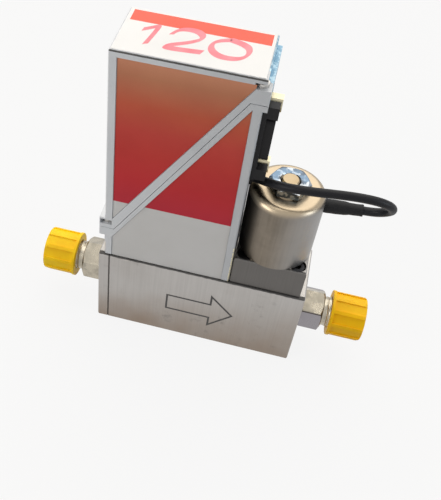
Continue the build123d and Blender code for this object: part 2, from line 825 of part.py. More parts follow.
with BuildPart() as valve_nut:
    with BuildSketch(nut_seat.offset(nut_washer_thickness)):
        RegularPolygon(nut_across_flats / 2, 6, major_radius=False)
        Circle(stud_diameter / 2 + fit_gap, mode=Mode.SUBTRACT)
    extrude(amount=nut_height)
    with BuildSketch(nut_section):
        Polygon(*bevel_ring(nut_across_flats, nut_bevel_land, nut_bevel_angle, -1), align=None)
    revolve(axis=Axis((valve_x, 0, 0), (0, 0, 1)), mode=Mode.SUBTRACT)
    top_circles = valve_nut.edges().filter_by(GeomType.CIRCLE).group_by(Axis.Z)[-1]
    chamfer(top_circles.sort_by(SortBy.RADIUS)[0], nut_bore_edge)
save(valve_nut, "valve_nut")

# ---------------------------------------------------------------- housing shells
front = Plane(origin=(housing_left, 0, block_height), x_dir=(1, 0, 0), z_dir=(0, -1, 0))
seam_slope = (seam_high - seam_low) / (seam_right - seam_left)


def seam_at(x, rise=0.0):
    """Point of the seam line, in the housing's front plane, raised by a height."""
    return (x, seam_low + (x - seam_left) * seam_slope + rise)


def outer_edges(builder):
    """The edges round a shell's end face and along its outer corners, which the mould leaves bevelled."""
    upright = builder.edges().filter_by(Axis.Z)
    ends = builder.edges().filter_by_position(Axis.Z, housing_top, housing_top)
    ends += builder.edges().filter_by_position(Axis.Z, block_height, block_height)
    for side in (housing_left, housing_right):
        ends += upright.filter_by_position(Axis.X, side, side)
    return ends


upper_outline = [
    (-lug_left, seam_low),
    (-lug_left, seam_low + upper_strip),
    (0, seam_low + upper_strip),
    (0, housing_height),
    (housing_width, housing_height),
    (housing_width, seam_head_z),
    (housing_width + lug_right, seam_head_z),
    (housing_width + lug_right, seam_high),
    (seam_right, seam_high),
    (seam_left, seam_low),
]
lower_outline = [
    (-lug_left, seam_low - seam_gap),
    (seam_left + seam_shift, seam_low - seam_gap),
    (seam_right + seam_shift, seam_high - seam_gap),
    (housing_width + lug_right, seam_high - seam_gap),
    (housing_width + lug_right, seam_high - lower_strip_right),
    (housing_width, seam_high - lower_strip_right),
    (housing_width, 0),
    (0, 0),
    (0, seam_low - lower_strip),
    (-lug_left, seam_low - lower_strip),
]
frame_right_x = housing_width - frame_right
upper_panel = [
    (frame_left, seam_low + upper_strip),
    (frame_left, housing_height - frame_top),
    (frame_right_x, housing_height - frame_top),
    (frame_right_x, seam_head_z + panel_lug_gap),
]
lower_panel = [
    (frame_left, 0),
    (frame_left, seam_low - lower_strip - panel_lug_gap),
    seam_at(frame_right_x, -lower_strip),
    (frame_right_x, 0),
]

# Screws through the lugs, one at each end of the seam
lug_screws = [
    (lug_screw_left, seam_low + lug_screw_rise),
    (housing_width - lug_screw_right, seam_head_z),
]
screw_depth = housing_depth / 2 - lug_screw_depth
pocket_width = m2_head + 2 * pocket_gap
outer_reach = 20.0  # cuts that clear away everything past the seam run this far

with BuildPart() as upper_cover:
    with BuildSketch(front):
        Polygon(*upper_outline, align=None)
    extrude(amount=housing_depth / 2, both=True)
    chamfer(outer_edges(upper_cover), housing_edge)
    with BuildSketch(front):
        with Locations((housing_wall, 0)):
            Rectangle(
                housing_width - 2 * housing_wall, housing_height - housing_wall, align=(Align.MIN, Align.MIN)
            )
    extrude(amount=inner_depth / 2, both=True, mode=Mode.SUBTRACT)
    # screw bosses inside the front corners
    with BuildSketch(front.offset(housing_depth / 2)):
        with Locations((0, seam_low)):
            Rectangle(boss_width - lug_left, boss_drop, align=(Align.MIN, Align.MIN))
        with Locations((housing_width, seam_high)):
            Rectangle(boss_width - lug_right, housing_height - seam_high, align=(Align.MAX, Align.MIN))
    extrude(amount=-boss_depth)
    with BuildSketch(front):
        Polygon(
            (seam_left, seam_low - outer_reach),
            (seam_left, seam_low),
            (seam_right, seam_high),
            (seam_right + outer_reach, seam_high),
            (seam_right + outer_reach, seam_low - outer_reach),
            align=None,
        )
    extrude(amount=housing_depth, both=True, mode=Mode.SUBTRACT)
    # recessed panel, screw pockets and screw holes
    with BuildSketch(front.offset(housing_depth / 2)):
        Polygon(*upper_panel, align=None)
    extrude(amount=-panel_recess, mode=Mode.SUBTRACT)
    with BuildSketch(front.offset(housing_depth / 2)):
        with Locations(*lug_screws):
            Rectangle(pocket_width, pocket_height, align=(Align.CENTER, Align.MIN))
    extrude(amount=-(housing_depth / 2 - screw_depth + pocket_width / 2), mode=Mode.SUBTRACT)
    with Locations(*[front * Pos(x, z, screw_depth) * Rot(-90, 0, 0) for x, z in lug_screws]):
        Cylinder(
            m2_shank / 2 + screw_gap,
            outer_reach,
            align=(Align.CENTER, Align.CENTER, Align.MAX),
            mode=Mode.SUBTRACT,
        )
save(upper_cover, "upper_cover")

connector_window_depth = collar_depth + window_margin
connector_window_height = collar_length + 2 * window_margin
right_wall = Plane(origin=(housing_right, 0, connector_height), x_dir=(0, 1, 0), z_dir=(1, 0, 0))
lead_exit = Plane(origin=(housing_right, grommet_y, grommet_height), x_dir=(0, 1, 0), z_dir=(1, 0, 0))

with BuildPart() as lower_cover:
    with BuildSketch(front):
        Polygon(*lower_outline, align=None)
    extrude(amount=housing_depth / 2, both=True)
    chamfer(outer_edges(lower_cover), housing_edge)
    with BuildSketch(front):
        with Locations((housing_wall, housing_wall)):
            Rectangle(housing_width - 2 * housing_wall, housing_height, align=(Align.MIN, Align.MIN))
    extrude(amount=inner_depth / 2, both=True, mode=Mode.SUBTRACT)
    with BuildSketch(front.offset(housing_depth / 2)):
        with Locations((0, seam_low - seam_gap)):
            Rectangle(boss_width - lug_left, boss_drop, align=(Align.MIN, Align.MAX))
        with Locations((housing_width, seam_high - seam_gap)):
            Rectangle(boss_width - lug_right, boss_drop, align=(Align.MAX, Align.MAX))
    extrude(amount=-boss_depth)
    with BuildSketch(front):
        Polygon(
            (seam_left + seam_shift - outer_reach, seam_low - seam_gap),
            (seam_left + seam_shift, seam_low - seam_gap),
            (seam_right + seam_shift, seam_high - seam_gap),
            (seam_right + seam_shift, seam_high + outer_reach),
            (seam_left + seam_shift - outer_reach, seam_high + outer_reach),
            align=None,
        )
    extrude(amount=housing_depth, both=True, mode=Mode.SUBTRACT)
    # recessed panel and the tapped ends of the lug screw holes
    with BuildSketch(front.offset(housing_depth / 2)):
        Polygon(*lower_panel, align=None)
    extrude(amount=-panel_recess, mode=Mode.SUBTRACT)
    with Locations(*[front * Pos(x, z, screw_depth) * Rot(-90, 0, 0) for x, z in lug_screws]):
        Cylinder(
            m2_shank / 2 + fit_gap,
            upper_strip_right + lug_screw_bite + hole_end_gap,
            align=(Align.CENTER, Align.CENTER, Align.MAX),
            mode=Mode.SUBTRACT,
        )
    # floor: window for the sensor base and two screw holes
    with BuildSketch(block_top):
        with Locations((sensor_base_x, 0)):
            Rectangle(
                sensor_base_length + 2 * floor_window_gap, sensor_base_depth + 2 * floor_window_gap
            )
        with Locations((floor_screw_x, floor_screw_y), (floor_screw_x, -floor_screw_y)):
            Circle(m3_shank / 2 + screw_gap)
    extrude(amount=housing_wall, mode=Mode.SUBTRACT)
    # right wall: connector window, jackscrew holes and the lead's hole
    with BuildSketch(right_wall):
        Rectangle(connector_window_depth, connector_window_height)
        with GridLocations(1, jackscrew_spacing, 1, 2):
            Circle(jackscrew_hole / 2)
    extrude(amount=-housing_wall, mode=Mode.SUBTRACT)
    with BuildSketch(lead_exit):
        Circle(grommet_neck / 2 + fit_gap)
    extrude(amount=-housing_wall, mode=Mode.SUBTRACT)
save(lower_cover, "lower_cover")

with BuildPart() as cover_screws:
    lug_lengths = (lug_screw_rise + lug_screw_bite, upper_strip_right + lug_screw_bite)
    for (x, z), length in zip(lug_screws, lug_lengths):
        with Locations(front * Pos(x, z, screw_depth) * Rot(-90, 0, 0)):
            add(socket_screw(m2_shank, length, m2_head, m2_head_height, m2_socket))
save(cover_screws, "cover_screws")

with BuildPart() as floor_screws:
    with Locations(Plane.XY.offset(block_height + housing_wall)):
        with Locations((floor_screw_x, floor_screw_y), (floor_screw_x, -floor_screw_y)):
            add(socket_screw(m3_shank, floor_screw_length, m3_head, m3_head_height, m3_socket))
save(floor_screws, "floor_screws")

# ---------------------------------------------------------------- labels
panel_floor = front.offset(housing_depth / 2 - panel_recess)

with BuildPart() as upper_label:
    with BuildSketch(panel_floor):
        Polygon(*upper_panel, align=None)
        offset(amount=-label_gap, mode=Mode.REPLACE)
    extrude(amount=label_thickness)
save(upper_label, "upper_label")

with BuildPart() as lower_label:
    with BuildSketch(panel_floor):
        Polygon(*lower_panel, align=None)
        offset(amount=-label_gap, mode=Mode.REPLACE)
    extrude(amount=label_thickness)
save(lower_label, "lower_label")

with BuildPart() as top_label:
    with BuildSketch(Plane.XY.offset(housing_top)):
        with Locations((housing_x, 0)):
            Rectangle(housing_width - 2 * top_label_inset, housing_depth - 2 * top_label_inset)
    extrude(amount=label_thickness)
save(top_label, "top_label")

# ---------------------------------------------------------------- sensor
sensor_seat = Plane.XY.offset(block_height).shift_origin((sensor_base_x, 0, block_height))
tap_places = [(x, 0) for x in tap_xs]

with BuildPart() as sensor_base:
    with BuildSketch(sensor_seat):
        Rectangle(sensor_base_length, sensor_base_depth)
    extrude(amount=sensor_base_height)
    chamfer(sensor_base.faces().sort_by(Axis.Z)[-1].edges(), 0.4)
    with BuildSketch(block_top):
        with Locations(*tap_places):
            Circle(capillary_diameter / 2 + fit_gap)
    extrude(amount=sensor_base_height, mode=Mode.SUBTRACT)
    with BuildSketch(block_top):
        with Locations(*tap_places):
            Circle(tap_seal_groove / 2)
    extrude(amount=tap_seal_depth, mode=Mode.SUBTRACT)
    with BuildSketch(block_top):
        with Locations(*[(x, 0) for x in sensor_screw_xs]):
            Circle(m3_shank / 2 + screw_gap)
    extrude(amount=sensor_base_height, mode=Mode.SUBTRACT)
save(sensor_base, "sensor_base")

with BuildPart() as sensor_seals:
    for x in tap_xs:
        seal_z = block_height + tap_seal_depth / 2
        add(ring(tap_seal_mean, tap_seal_section, Plane.XY.offset(seal_z).shift_origin((x, 0, seal_z))))
save(sensor_seals, "sensor_seals")

with BuildPart() as sensor_screws:
    with Locations(Plane.XY.offset(sensor_top)):
        with Locations(*[(x, 0) for x in sensor_screw_xs]):
            add(
                socket_screw(
                    m3_shank, sensor_base_height + sensor_screw_bite, m3_head, m3_head_height, m3_socket
                )
            )
save(sensor_screws, "sensor_screws")

with BuildPart() as sensor_tube:
    with BuildLine():
        tube_foot = block_height + capillary_foot
        tube_top = sensor_top + capillary_rise
        FilletPolyline(
            (tap_xs[0], 0, tube_foot),
            (tap_xs[0], 0, tube_top),
            (tap_xs[1], 0, tube_top),
            (tap_xs[1], 0, tube_foot),
            radius=capillary_bend,
        )
    with BuildSketch(Plane.XY.offset(tube_foot)):
        with Locations((tap_xs[0], 0)):
            Circle(capillary_diameter / 2)
    sweep()
save(sensor_tube, "sensor_tube")

with BuildPart() as sensor_windings:
    for side in (-1, 1):
        winding_end = (element_x + side * winding_side_gap, 0, tube_top)
        with BuildSketch(Plane(origin=winding_end, z_dir=(side, 0, 0))):
            Circle(capillary_diameter / 2 + winding_thickness)
            Circle(capillary_diameter / 2 + winding_bore_gap, mode=Mode.SUBTRACT)
        extrude(amount=winding_length)
save(sensor_windings, "sensor_windings")

cover_x_inset = 2 * sensor_screw_inset + 0.2
with BuildPart() as sensor_cover:
    with BuildSketch(sensor_seat.offset(sensor_base_height)):
        Rectangle(sensor_base_length - 2 * cover_x_inset, sensor_cover_depth)
    extrude(amount=sensor_cover_height)
    chamfer(sensor_cover.edges().filter_by(Axis.Z), 0.6)
    with BuildSketch(sensor_seat.offset(sensor_base_height)):
        Rectangle(
            sensor_base_length - 2 * cover_x_inset - 2 * sensor_cover_wall,
            sensor_cover_depth - 2 * sensor_cover_wall,
        )
    extrude(amount=sensor_cover_height - sensor_cover_wall, mode=Mode.SUBTRACT)
save(sensor_cover, "sensor_cover")

# ---------------------------------------------------------------- circuit board
board_left = inner_left + board_gap
board_right = housing_right - board_inset
board_plane = Plane(origin=(0, 0, sensor_cover_top), x_dir=(1, 0, 0), z_dir=(0, -1, 0))

with BuildPart() as circuit_board:
    with BuildSketch(board_plane.offset(-board_thickness / 2)):
        with Locations((board_left, 0)):
            Rectangle(board_right - board_left, board_height, align=(Align.MIN, Align.MIN))
    extrude(amount=board_thickness)
save(circuit_board, "circuit_board")

# Chips on the board's front face: centre x, height above the board's foot, width and height
chips = [
    (board_left + left_column, lower_row, processor_side, processor_side),
    (board_left + right_column, middle_row, amplifier_width, amplifier_height),
    (board_left + left_column + regulator_shift, upper_row, regulator_width, regulator_height),
]
capacitors = [
    (board_left + left_column, top_row),
    (board_left + second_column, top_row),
    (board_left + left_column, middle_row - capacitor_drop),
]

with BuildPart() as board_chips:
    for x, z, width, height in chips:
        with BuildSketch(board_plane.offset(board_thickness / 2)):
            with Locations((x, z)):
                Rectangle(width, height)
        extrude(amount=chip_thickness)
save(board_chips, "board_chips")

with BuildPart() as board_capacitors:
    with BuildSketch(board_plane.offset(-board_thickness / 2)):
        with Locations(*capacitors):
            Circle(capacitor_diameter / 2)
    extrude(amount=-capacitor_length)
    chamfer(board_capacitors.edges().group_by(Axis.Y)[-1], capacitor_edge)
save(board_capacitors, "board_capacitors")

# ---------------------------------------------------------------- connector
with BuildPart() as connector_body:
    with BuildSketch(right_wall):
        RectangleRounded(flange_depth, flange_length, flange_round)
        with GridLocations(1, jackscrew_spacing, 1, 2):
            Circle(jackscrew_hole / 2, mode=Mode.SUBTRACT)
    extrude(amount=flange_thickness)
    with BuildSketch(right_wall):
        Rectangle(
            connector_window_depth - 2 * flange_window_gap,
            connector_window_height - 2 * flange_window_gap,
        )
    extrude(amount=board_right - housing_right + flange_window_gap)
    with BuildSketch(right_wall.offset(flange_thickness)):
        with Locations((-(flange_depth - end_lug_depth) / 2, 0)):
            with GridLocations(1, jackscrew_spacing, 1, 2):
                Rectangle(end_lug_depth, end_lug_height)
    extrude(amount=end_lug_reach - flange_thickness)
    # the D-shaped collar, its long side to the front
    with BuildSketch(right_wall.offset(flange_thickness)):
        with BuildLine():
            Polyline(
                (-collar_depth / 2, -collar_length / 2),
                (-collar_depth / 2, collar_length / 2),
                (collar_depth / 2, collar_length / 2 - collar_taper),
                (collar_depth / 2, -collar_length / 2 + collar_taper),
                close=True,
            )
        make_face()
        fillet(vertices(), collar_round)
        offset(amount=-collar_wall, mode=Mode.SUBTRACT)
    extrude(amount=collar_reach - flange_thickness)
    with BuildSketch(right_wall.offset(flange_thickness)):
        with Locations((-pin_row / 2, 0)):
            with GridLocations(1, pin_pitch, 1, 5):
                Circle(pin_diameter / 2)
        with Locations((pin_row / 2, 0)):
            with GridLocations(1, pin_pitch, 1, 4):
                Circle(pin_diameter / 2)
    extrude(amount=-flange_thickness - pin_root, mode=Mode.SUBTRACT)
save(connector_body, "connector_body")

with BuildPart() as connector_pins:
    with BuildSketch(right_wall.offset(-pin_root)):
        with Locations((-pin_row / 2, 0)):
            with GridLocations(1, pin_pitch, 1, 5):
                Circle(pin_diameter / 2)
        with Locations((pin_row / 2, 0)):
            with GridLocations(1, pin_pitch, 1, 4):
                Circle(pin_diameter / 2)
    extrude(amount=pin_root + flange_thickness + pin_reach)
    chamfer(connector_pins.edges().group_by(Axis.X)[-1], pin_diameter / 4)
save(connector_pins, "connector_pins")

with BuildPart() as jackscrews:
    with BuildSketch(right_wall.offset(flange_thickness)):
        with GridLocations(1, jackscrew_spacing, 1, 2):
            RegularPolygon(jackscrew_across_flats / 2, 6, major_radius=False)
    extrude(amount=jackscrew_reach - flange_thickness)
    with BuildSketch(right_wall.offset(flange_thickness)):
        with GridLocations(1, jackscrew_spacing, 1, 2):
            Circle(jackscrew_shank / 2)
    extrude(amount=-flange_thickness - housing_wall)
    with BuildSketch(right_wall.offset(jackscrew_reach)):
        with GridLocations(1, jackscrew_spacing, 1, 2):
            Circle(jackscrew_bore / 2)
    extrude(amount=-jackscrew_bore_depth, mode=Mode.SUBTRACT)
save(jackscrews, "jackscrews")

# ---------------------------------------------------------------- valve lead
with BuildPart() as lead_grommet:
    with BuildSketch(lead_exit):
        Circle(grommet_flange / 2)
    extrude(amount=grommet_front)
    fillet(lead_grommet.faces().sort_by(Axis.X)[-1].edges(), grommet_front / 2)
    with BuildSketch(lead_exit):
        Circle(grommet_neck / 2)
    extrude(amount=-housing_wall)
    with BuildSketch(lead_exit.offset(-housing_wall)):
        Circle(grommet_flange / 2)
    extrude(amount=-grommet_back)
save(lead_grommet, "lead_grommet")

tilt = math.radians(boot_tilt)
boot_axis = Plane(
    origin=(valve_x + can_diameter / 2 - can_wall - boot_overlap, 0, boot_height),
    x_dir=(0, 1, 0),
    z_dir=(math.cos(tilt), 0, math.sin(tilt)),
)

with BuildPart(boot_axis) as lead_boot:
    with BuildSketch(boot_axis):
        Circle(boot_root / 2)
    with BuildSketch(boot_axis.offset(boot_length * 0.55)):
        Circle(boot_root / 2 - 0.1)
    with BuildSketch(boot_axis.offset(boot_length * 0.7)):
        Circle(boot_tip / 2 + 0.1)
    with BuildSketch(boot_axis.offset(boot_length)):
        Circle(boot_tip / 2)
    loft(ruled=True)
save(lead_boot, "lead_boot")

boot_end = boot_axis.offset(boot_length).origin
lead_start = (housing_right + grommet_front, grommet_y, grommet_height)
lead_route = [
    lead_start,
    (12.9, -1.3, 79.0),
    (14.7, -2.9, 80.0),
    (17.2, -6.0, 82.4),
    (20.8, -8.8, 84.5),
    (25.6, -10.0, 85.7),
    (31.6, -10.2, 86.4),
    (38.4, -9.6, 86.8),
    (45.2, -8.9, 86.9),
    (51.6, -8.0, 86.1),
    (55.8, -6.3, 83.6),
    (57.5, -3.9, 80.0),
    (56.2, -1.5, 76.4),
    (52.7, -0.1, 73.9),
    tuple(boot_end),
]

corners = [Vector(*point) for point in lead_route]
runs = [after - before for before, after in zip(corners, corners[1:])]
turns = [first.get_angle(second) for first, second in zip(runs, runs[1:])]
radii = [
    0.45 * min(first.length, second.length) / math.tan(math.radians(turn) / 2)
    for first, second, turn in zip(runs, runs[1:], turns)
]
print("lead bend radii, mm:", [round(radius, 1) for radius in radii])

with BuildPart() as valve_lead:
    with BuildLine() as lead_line:
        FilletPolyline(*lead_route, radius=radii)
    with BuildSketch(Plane(origin=lead_start, z_dir=runs[0])):
        Circle(lead_diameter / 2)
    sweep()
lead_length = sum(edge.length for edge in lead_line.edges())
lead_section = math.pi * lead_diameter**2 / 4
print("lead length, mm:", round(lead_length, 2))
print("lead volume over section x length:", round(valve_lead.part.volume / (lead_section * lead_length), 5))
save(valve_lead, "valve_lead")
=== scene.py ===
# %% [markdown]
# Mass flow controller A gas enters at one end of a steel block, is measured inside the tall housing, and
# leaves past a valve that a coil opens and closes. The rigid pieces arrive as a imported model, so this
# script only dresses them: it adds the lead and its shrink sleeve, the valve's spring, the threads, the
# flow arrow, the number on top and a finish for every surface.

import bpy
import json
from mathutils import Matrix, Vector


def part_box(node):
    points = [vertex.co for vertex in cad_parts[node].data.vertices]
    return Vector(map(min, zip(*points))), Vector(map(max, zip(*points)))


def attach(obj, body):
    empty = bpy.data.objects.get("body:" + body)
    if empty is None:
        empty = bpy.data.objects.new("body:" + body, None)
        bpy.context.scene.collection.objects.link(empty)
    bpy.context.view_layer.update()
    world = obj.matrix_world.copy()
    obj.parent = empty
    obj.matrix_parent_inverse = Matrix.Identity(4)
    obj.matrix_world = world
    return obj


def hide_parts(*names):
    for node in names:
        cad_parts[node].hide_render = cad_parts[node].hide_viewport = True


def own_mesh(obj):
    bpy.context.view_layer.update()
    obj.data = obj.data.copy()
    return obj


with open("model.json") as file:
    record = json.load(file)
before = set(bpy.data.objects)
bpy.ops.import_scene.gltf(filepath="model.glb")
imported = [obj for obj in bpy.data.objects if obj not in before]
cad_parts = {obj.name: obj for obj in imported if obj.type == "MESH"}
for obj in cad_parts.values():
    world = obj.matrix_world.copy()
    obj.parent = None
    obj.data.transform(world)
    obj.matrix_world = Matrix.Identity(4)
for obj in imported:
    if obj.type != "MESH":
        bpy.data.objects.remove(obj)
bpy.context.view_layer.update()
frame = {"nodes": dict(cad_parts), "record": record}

# %% [markdown]
# Tools and units Blender works in metres, but a product this small is easier to think of in
# millimetres, so lengths are written as a number of millimetres times MM.

# %% Tools and units
import json
import math

import bmesh
import bpy
from mathutils import Matrix, Vector, noise

MM = 0.001

# %% [markdown]
# The camera
# The controller is seen from above and a little to the right of its middle, from a little over a quarter
# of a metre away. A camera can be aimed with a constraint, but here its own three axes are known, so they
# are written straight into its matrix. A lens shift puts the object where it belongs in a cropped frame
# without tilting the camera.

# %% Camera
camera_place = Vector((15.6, -192.2, 250.6)) * MM
view_direction = Vector((-0.1257, 0.6887, -0.7138)).normalized()
roughly_up = Vector((-0.2158, 0.6834, 0.6973))
view_right = view_direction.cross(roughly_up).normalized()
view_up = view_right.cross(view_direction)
camera_axes = Matrix((view_right, view_up, -view_direction)).transposed()

camera = bpy.data.objects.new("camera", bpy.data.cameras.new("camera"))
bpy.context.scene.collection.objects.link(camera)
camera.matrix_world = Matrix.Translation(camera_place) @ camera_axes.to_4x4()
camera.data.sensor_width = 36.0
camera.data.lens = 55.09
camera.data.shift_x, camera.data.shift_y = 0.1225, -0.0745
camera.data.clip_start, camera.data.clip_end = 0.01, 20.0
bpy.context.scene.camera = camera
print("camera height, mm:", round(camera.location.z / MM))

# %% [markdown]
# The valve lead
# A black two-core lead leaves the housing, swings round the coil in one free loop and goes into the
# coil's side. It could be a mesh tube, but a NURBS curve gives the smooth line that a springy cable
# takes. Its control points are the lead's route. Order 3 keeps the curve close to them, and it is set
# after the points exist, because Blender would otherwise fall back to straight runs.

# %% Valve lead
lead_thickness = 3.0
boot_length, boot_tilt = 14.4, math.radians(5.9)
boot_root = Vector((34.8, 0.0, 72.1))
boot_along = Vector((math.cos(boot_tilt), 0.0, math.sin(boot_tilt)))
lead_route = [
    (11.3, -1.0, 78.9), (12.9, -1.3, 79.0), (14.7, -2.9, 80.0), (17.2, -6.0, 82.4), (20.8, -8.8, 84.5),
    (25.6, -10.0, 85.7), (31.6, -10.2, 86.4), (38.4, -9.6, 86.8), (45.2, -8.9, 86.9), (51.6, -8.0, 86.1),
    (55.8, -6.3, 83.6), (57.5, -3.9, 80.0), (56.2, -1.5, 76.4), (52.7, -0.1, 73.9),
    tuple(boot_root + boot_along * boot_length),
]

lead_curve = bpy.data.curves.new("lead_line", "CURVE")
lead_curve.dimensions = "3D"
lead_line = lead_curve.splines.new("NURBS")
lead_line.points.add(len(lead_route) - 1)
for point, place in zip(lead_line.points, lead_route):
    point.co = (*[value * MM for value in place], 1.0)
lead_line.order_u = 3
lead_line.use_endpoint_u = True
lead_line.resolution_u = 16
lead_curve.bevel_depth = lead_thickness / 2 * MM
lead_curve.bevel_resolution = 6
lead_curve.use_fill_caps = True
lead = bpy.data.objects.new("lead", lead_curve)
bpy.context.scene.collection.objects.link(lead)
print("lead control points:", len(lead_line.points))

# %% [markdown]
# Shader maths
# Finishes are node trees, and long chains of Math nodes are hard to read. A small wrapper lets a socket
# take part in ordinary sums, each of which adds its own Math node.


# %% Helper: sockets that add and multiply
class Value:
    """A shader socket that can be used in arithmetic."""

    def __init__(self, look, socket):
        self.look, self.socket = look, socket

    def sum(self, operation, *others):
        return self.look.node("ShaderNodeMath", {"operation": operation}, *others)

    def __add__(self, other):
        return self.sum("ADD", self, other)

    def __sub__(self, other):
        return self.sum("SUBTRACT", self, other)

    def __rsub__(self, other):
        return self.sum("SUBTRACT", other, self)

    def __mul__(self, other):
        return self.sum("MULTIPLY", self, other)

    def __pow__(self, other):
        return self.sum("POWER", self, other)

    def __lt__(self, other):
        return self.sum("LESS_THAN", self, other)

    def __gt__(self, other):
        return self.sum("GREATER_THAN", self, other)

    def between(self, low, high, start=0.0, end=1.0):
        """Runs smoothly from start to end as the value goes from low to high."""
        options = {"interpolation_type": "SMOOTHSTEP", "clamp": True}
        return self.look.node("ShaderNodeMapRange", options, self, low, high, start, end)

    __radd__, __rmul__ = __add__, __mul__


print("helper ready:", Value.__name__)

# %% [markdown]
# Filling a node tree
# Any node that isn't a sum comes from one method, which sets the node's options first, because they
# decide which sockets it has, and then fills its sockets with numbers, colours or links. The finishes
# and the room's light are both node trees, so both use it.


# %% Helper: a node tree
class Nodes:
    """A node tree that is filled by sums and by named nodes."""

    def __init__(self, tree, place):
        self.tree = tree
        self.place = self.node("ShaderNodeTexCoord", output=place)

    def node(self, kind, options=None, *values, output=0, **named):
        made = self.tree.nodes.new(kind)
        for name, value in (options or {}).items():
            if name == "stops":
                ramp = made.color_ramp
                while len(ramp.elements) < len(value):
                    ramp.elements.new(1.0)
                for element, (position, colour) in zip(ramp.elements, value):
                    element.position, element.color = position, (*colour, 1.0)
            else:
                setattr(made, name, value)
        wanted = list(enumerate(values)) + [(name.replace("_", " "), value) for name, value in named.items()]
        for key, value in wanted:
            self.fill(made.inputs[key], value)
        return Value(self, made.outputs[output])

    def fill(self, socket, value):
        if isinstance(value, Value):
            self.tree.links.new(value.socket, socket)
        elif socket.type == "RGBA" and len(value) == 3:
            socket.default_value = (*value, 1.0)
        else:
            socket.default_value = value

    def mix(self, amount, first, second, blend="MIX"):
        made = self.tree.nodes.new("ShaderNodeMix")
        made.data_type, made.blend_type = "RGBA", blend
        for index, value in ((0, amount), (6, first), (7, second)):
            self.fill(made.inputs[index], value)
        return Value(self, made.outputs[2])

    def axes(self):
        split = self.tree.nodes.new("ShaderNodeSeparateXYZ")
        self.tree.links.new(self.place.socket, split.inputs[0])
        return [Value(self, split.outputs[index]) for index in range(3)]

    def shown(self):
        """1 for what the camera, a reflection or glass looks at, and 0 for the light that falls on things."""
        kinds = ("Camera", "Glossy", "Transmission")
        return sum(self.node("ShaderNodeLightPath", output=f"Is {kind} Ray") for kind in kinds)


print("helper ready:", Nodes.__name__)

# %% [markdown]
# One finish
# A finish is a material with a Principled shader. Its patterns are noises on Object coordinates, which
# are the real place on the model in metres, so a scale of 1000 gives grains of about a millimetre.


# %% Helper: a finish
class Look(Nodes):
    """One finish: a material with its Principled shader."""

    def __init__(self, name, **settings):
        self.material = bpy.data.materials.new(name)
        self.material.use_nodes = True
        super().__init__(self.material.node_tree, "Object")
        self.shader = self.tree.nodes["Principled BSDF"]
        self.set(**settings)

    def set(self, **settings):
        for name, value in settings.items():
            self.fill(self.shader.inputs[name.replace("_", " ")], value)

    def stretched(self, x, y, z):
        """The place, scaled for each axis, so that a pattern is drawn out along the smaller ones."""
        return self.node("ShaderNodeMapping", {"vector_type": "POINT"}, Vector=self.place, Scale=(x, y, z))

    def grain(self, scale, where=None, detail=2.0, roughness=0.5):
        return self.node(
            "ShaderNodeTexNoise", None, output="Fac", Vector=where or self.place, Scale=scale,
            Detail=detail, Roughness=roughness,
        )

    def bump(self, height, distance, strength):
        return self.node("ShaderNodeBump", None, Strength=strength, Distance=distance, Height=height)


def darker(colour, share):
    """The colour that keeps this share of its light."""
    return [value * share for value in colour]


print("helpers ready:", Look.__name__, darker.__name__)

# %% [markdown]
# Ground steel
# The block, its end plate and the valve block are ground stainless steel: a grey metal with fine upright
# scratches and broad dull patches from handling. The scratches are noise drawn out along the grinding
# direction, and they change the roughness and the bump more than the colour. Low down the steel is
# painted brown and warm and higher up cooler, a painted reflection of the room. A painted shade, near
# black, lies along the top front strip of the block and of the valve block. A function of the place
# gives what else is dark: the dark joint between block and end plate, and a painted shade on the valve
# block's front.


# %% Finish: ground steel
def ground_steel(name, cool, warm, dark, top_shade_from, dirt_and_shade):
    """The last argument is a function of the place along, across and up that gives how dark a few places
    are: a dark joint, and painted shade.
    """
    look = Look(name, Metallic=1.0)
    along, across, height = look.axes()
    streaks = look.grain(1.0, look.stretched(2200.0, 2200.0, 45.0), detail=3.0)
    fine = look.grain(1.0, look.stretched(16000.0, 16000.0, 500.0), detail=1.0)
    clouds = look.grain(34.0, detail=3.0, roughness=0.55)
    stains = look.grain(120.0, detail=4.0, roughness=0.65).between(0.6, 0.78)
    smudges = look.grain(150.0, detail=5.0, roughness=0.7).between(0.55, 0.75)
    uneven = look.grain(500.0) * (0.25 * MM)
    # A painted reflection: warm low down and cool higher up, broken by clouds.
    cool_reflection_and_clouds = height * (1 / (11 * MM)) + clouds * 2.2 - along * (1 / (60 * MM))
    # A painted shade, near black, along the top front strip.
    painted_top_shade = (height + uneven).between(top_shade_from, top_shade_from + 0.25 * MM) * (across < top_shade_back) * 0.88

    tone = look.mix(cool_reflection_and_clouds.between(0.9, 3.6, 1.0, 0.0), cool, warm)
    tone = look.mix(clouds.between(0.35, 0.75) * 0.45, tone, dark)
    tone = look.mix(streaks.between(0.3, 0.75) * 0.12 + stains * 0.28, tone, darker(cool, 0.45))
    # Darkens the dark joint and the painted shade that the last argument gives.
    tone = look.mix(dirt_and_shade(along + uneven, across, height), tone, dirt_and_shade_tint, "MULTIPLY")
    tone = look.mix(smudges * clouds.between(0.4, 0.6) * 0.4, tone, darker(dark, 0.3))
    look.set(
        Base_Color=look.mix(painted_top_shade, tone, (0.03, 0.028, 0.027)),
        Roughness=streaks * 0.1 + clouds * 0.12 + stains * 0.1 + painted_top_shade * 0.2 + 0.31,
        Metallic=1 - painted_top_shade * 0.5,
        Normal=look.bump(streaks + fine * 0.4 + stains * 0.6, 0.03 * MM, 0.22),
    )
    return look.material


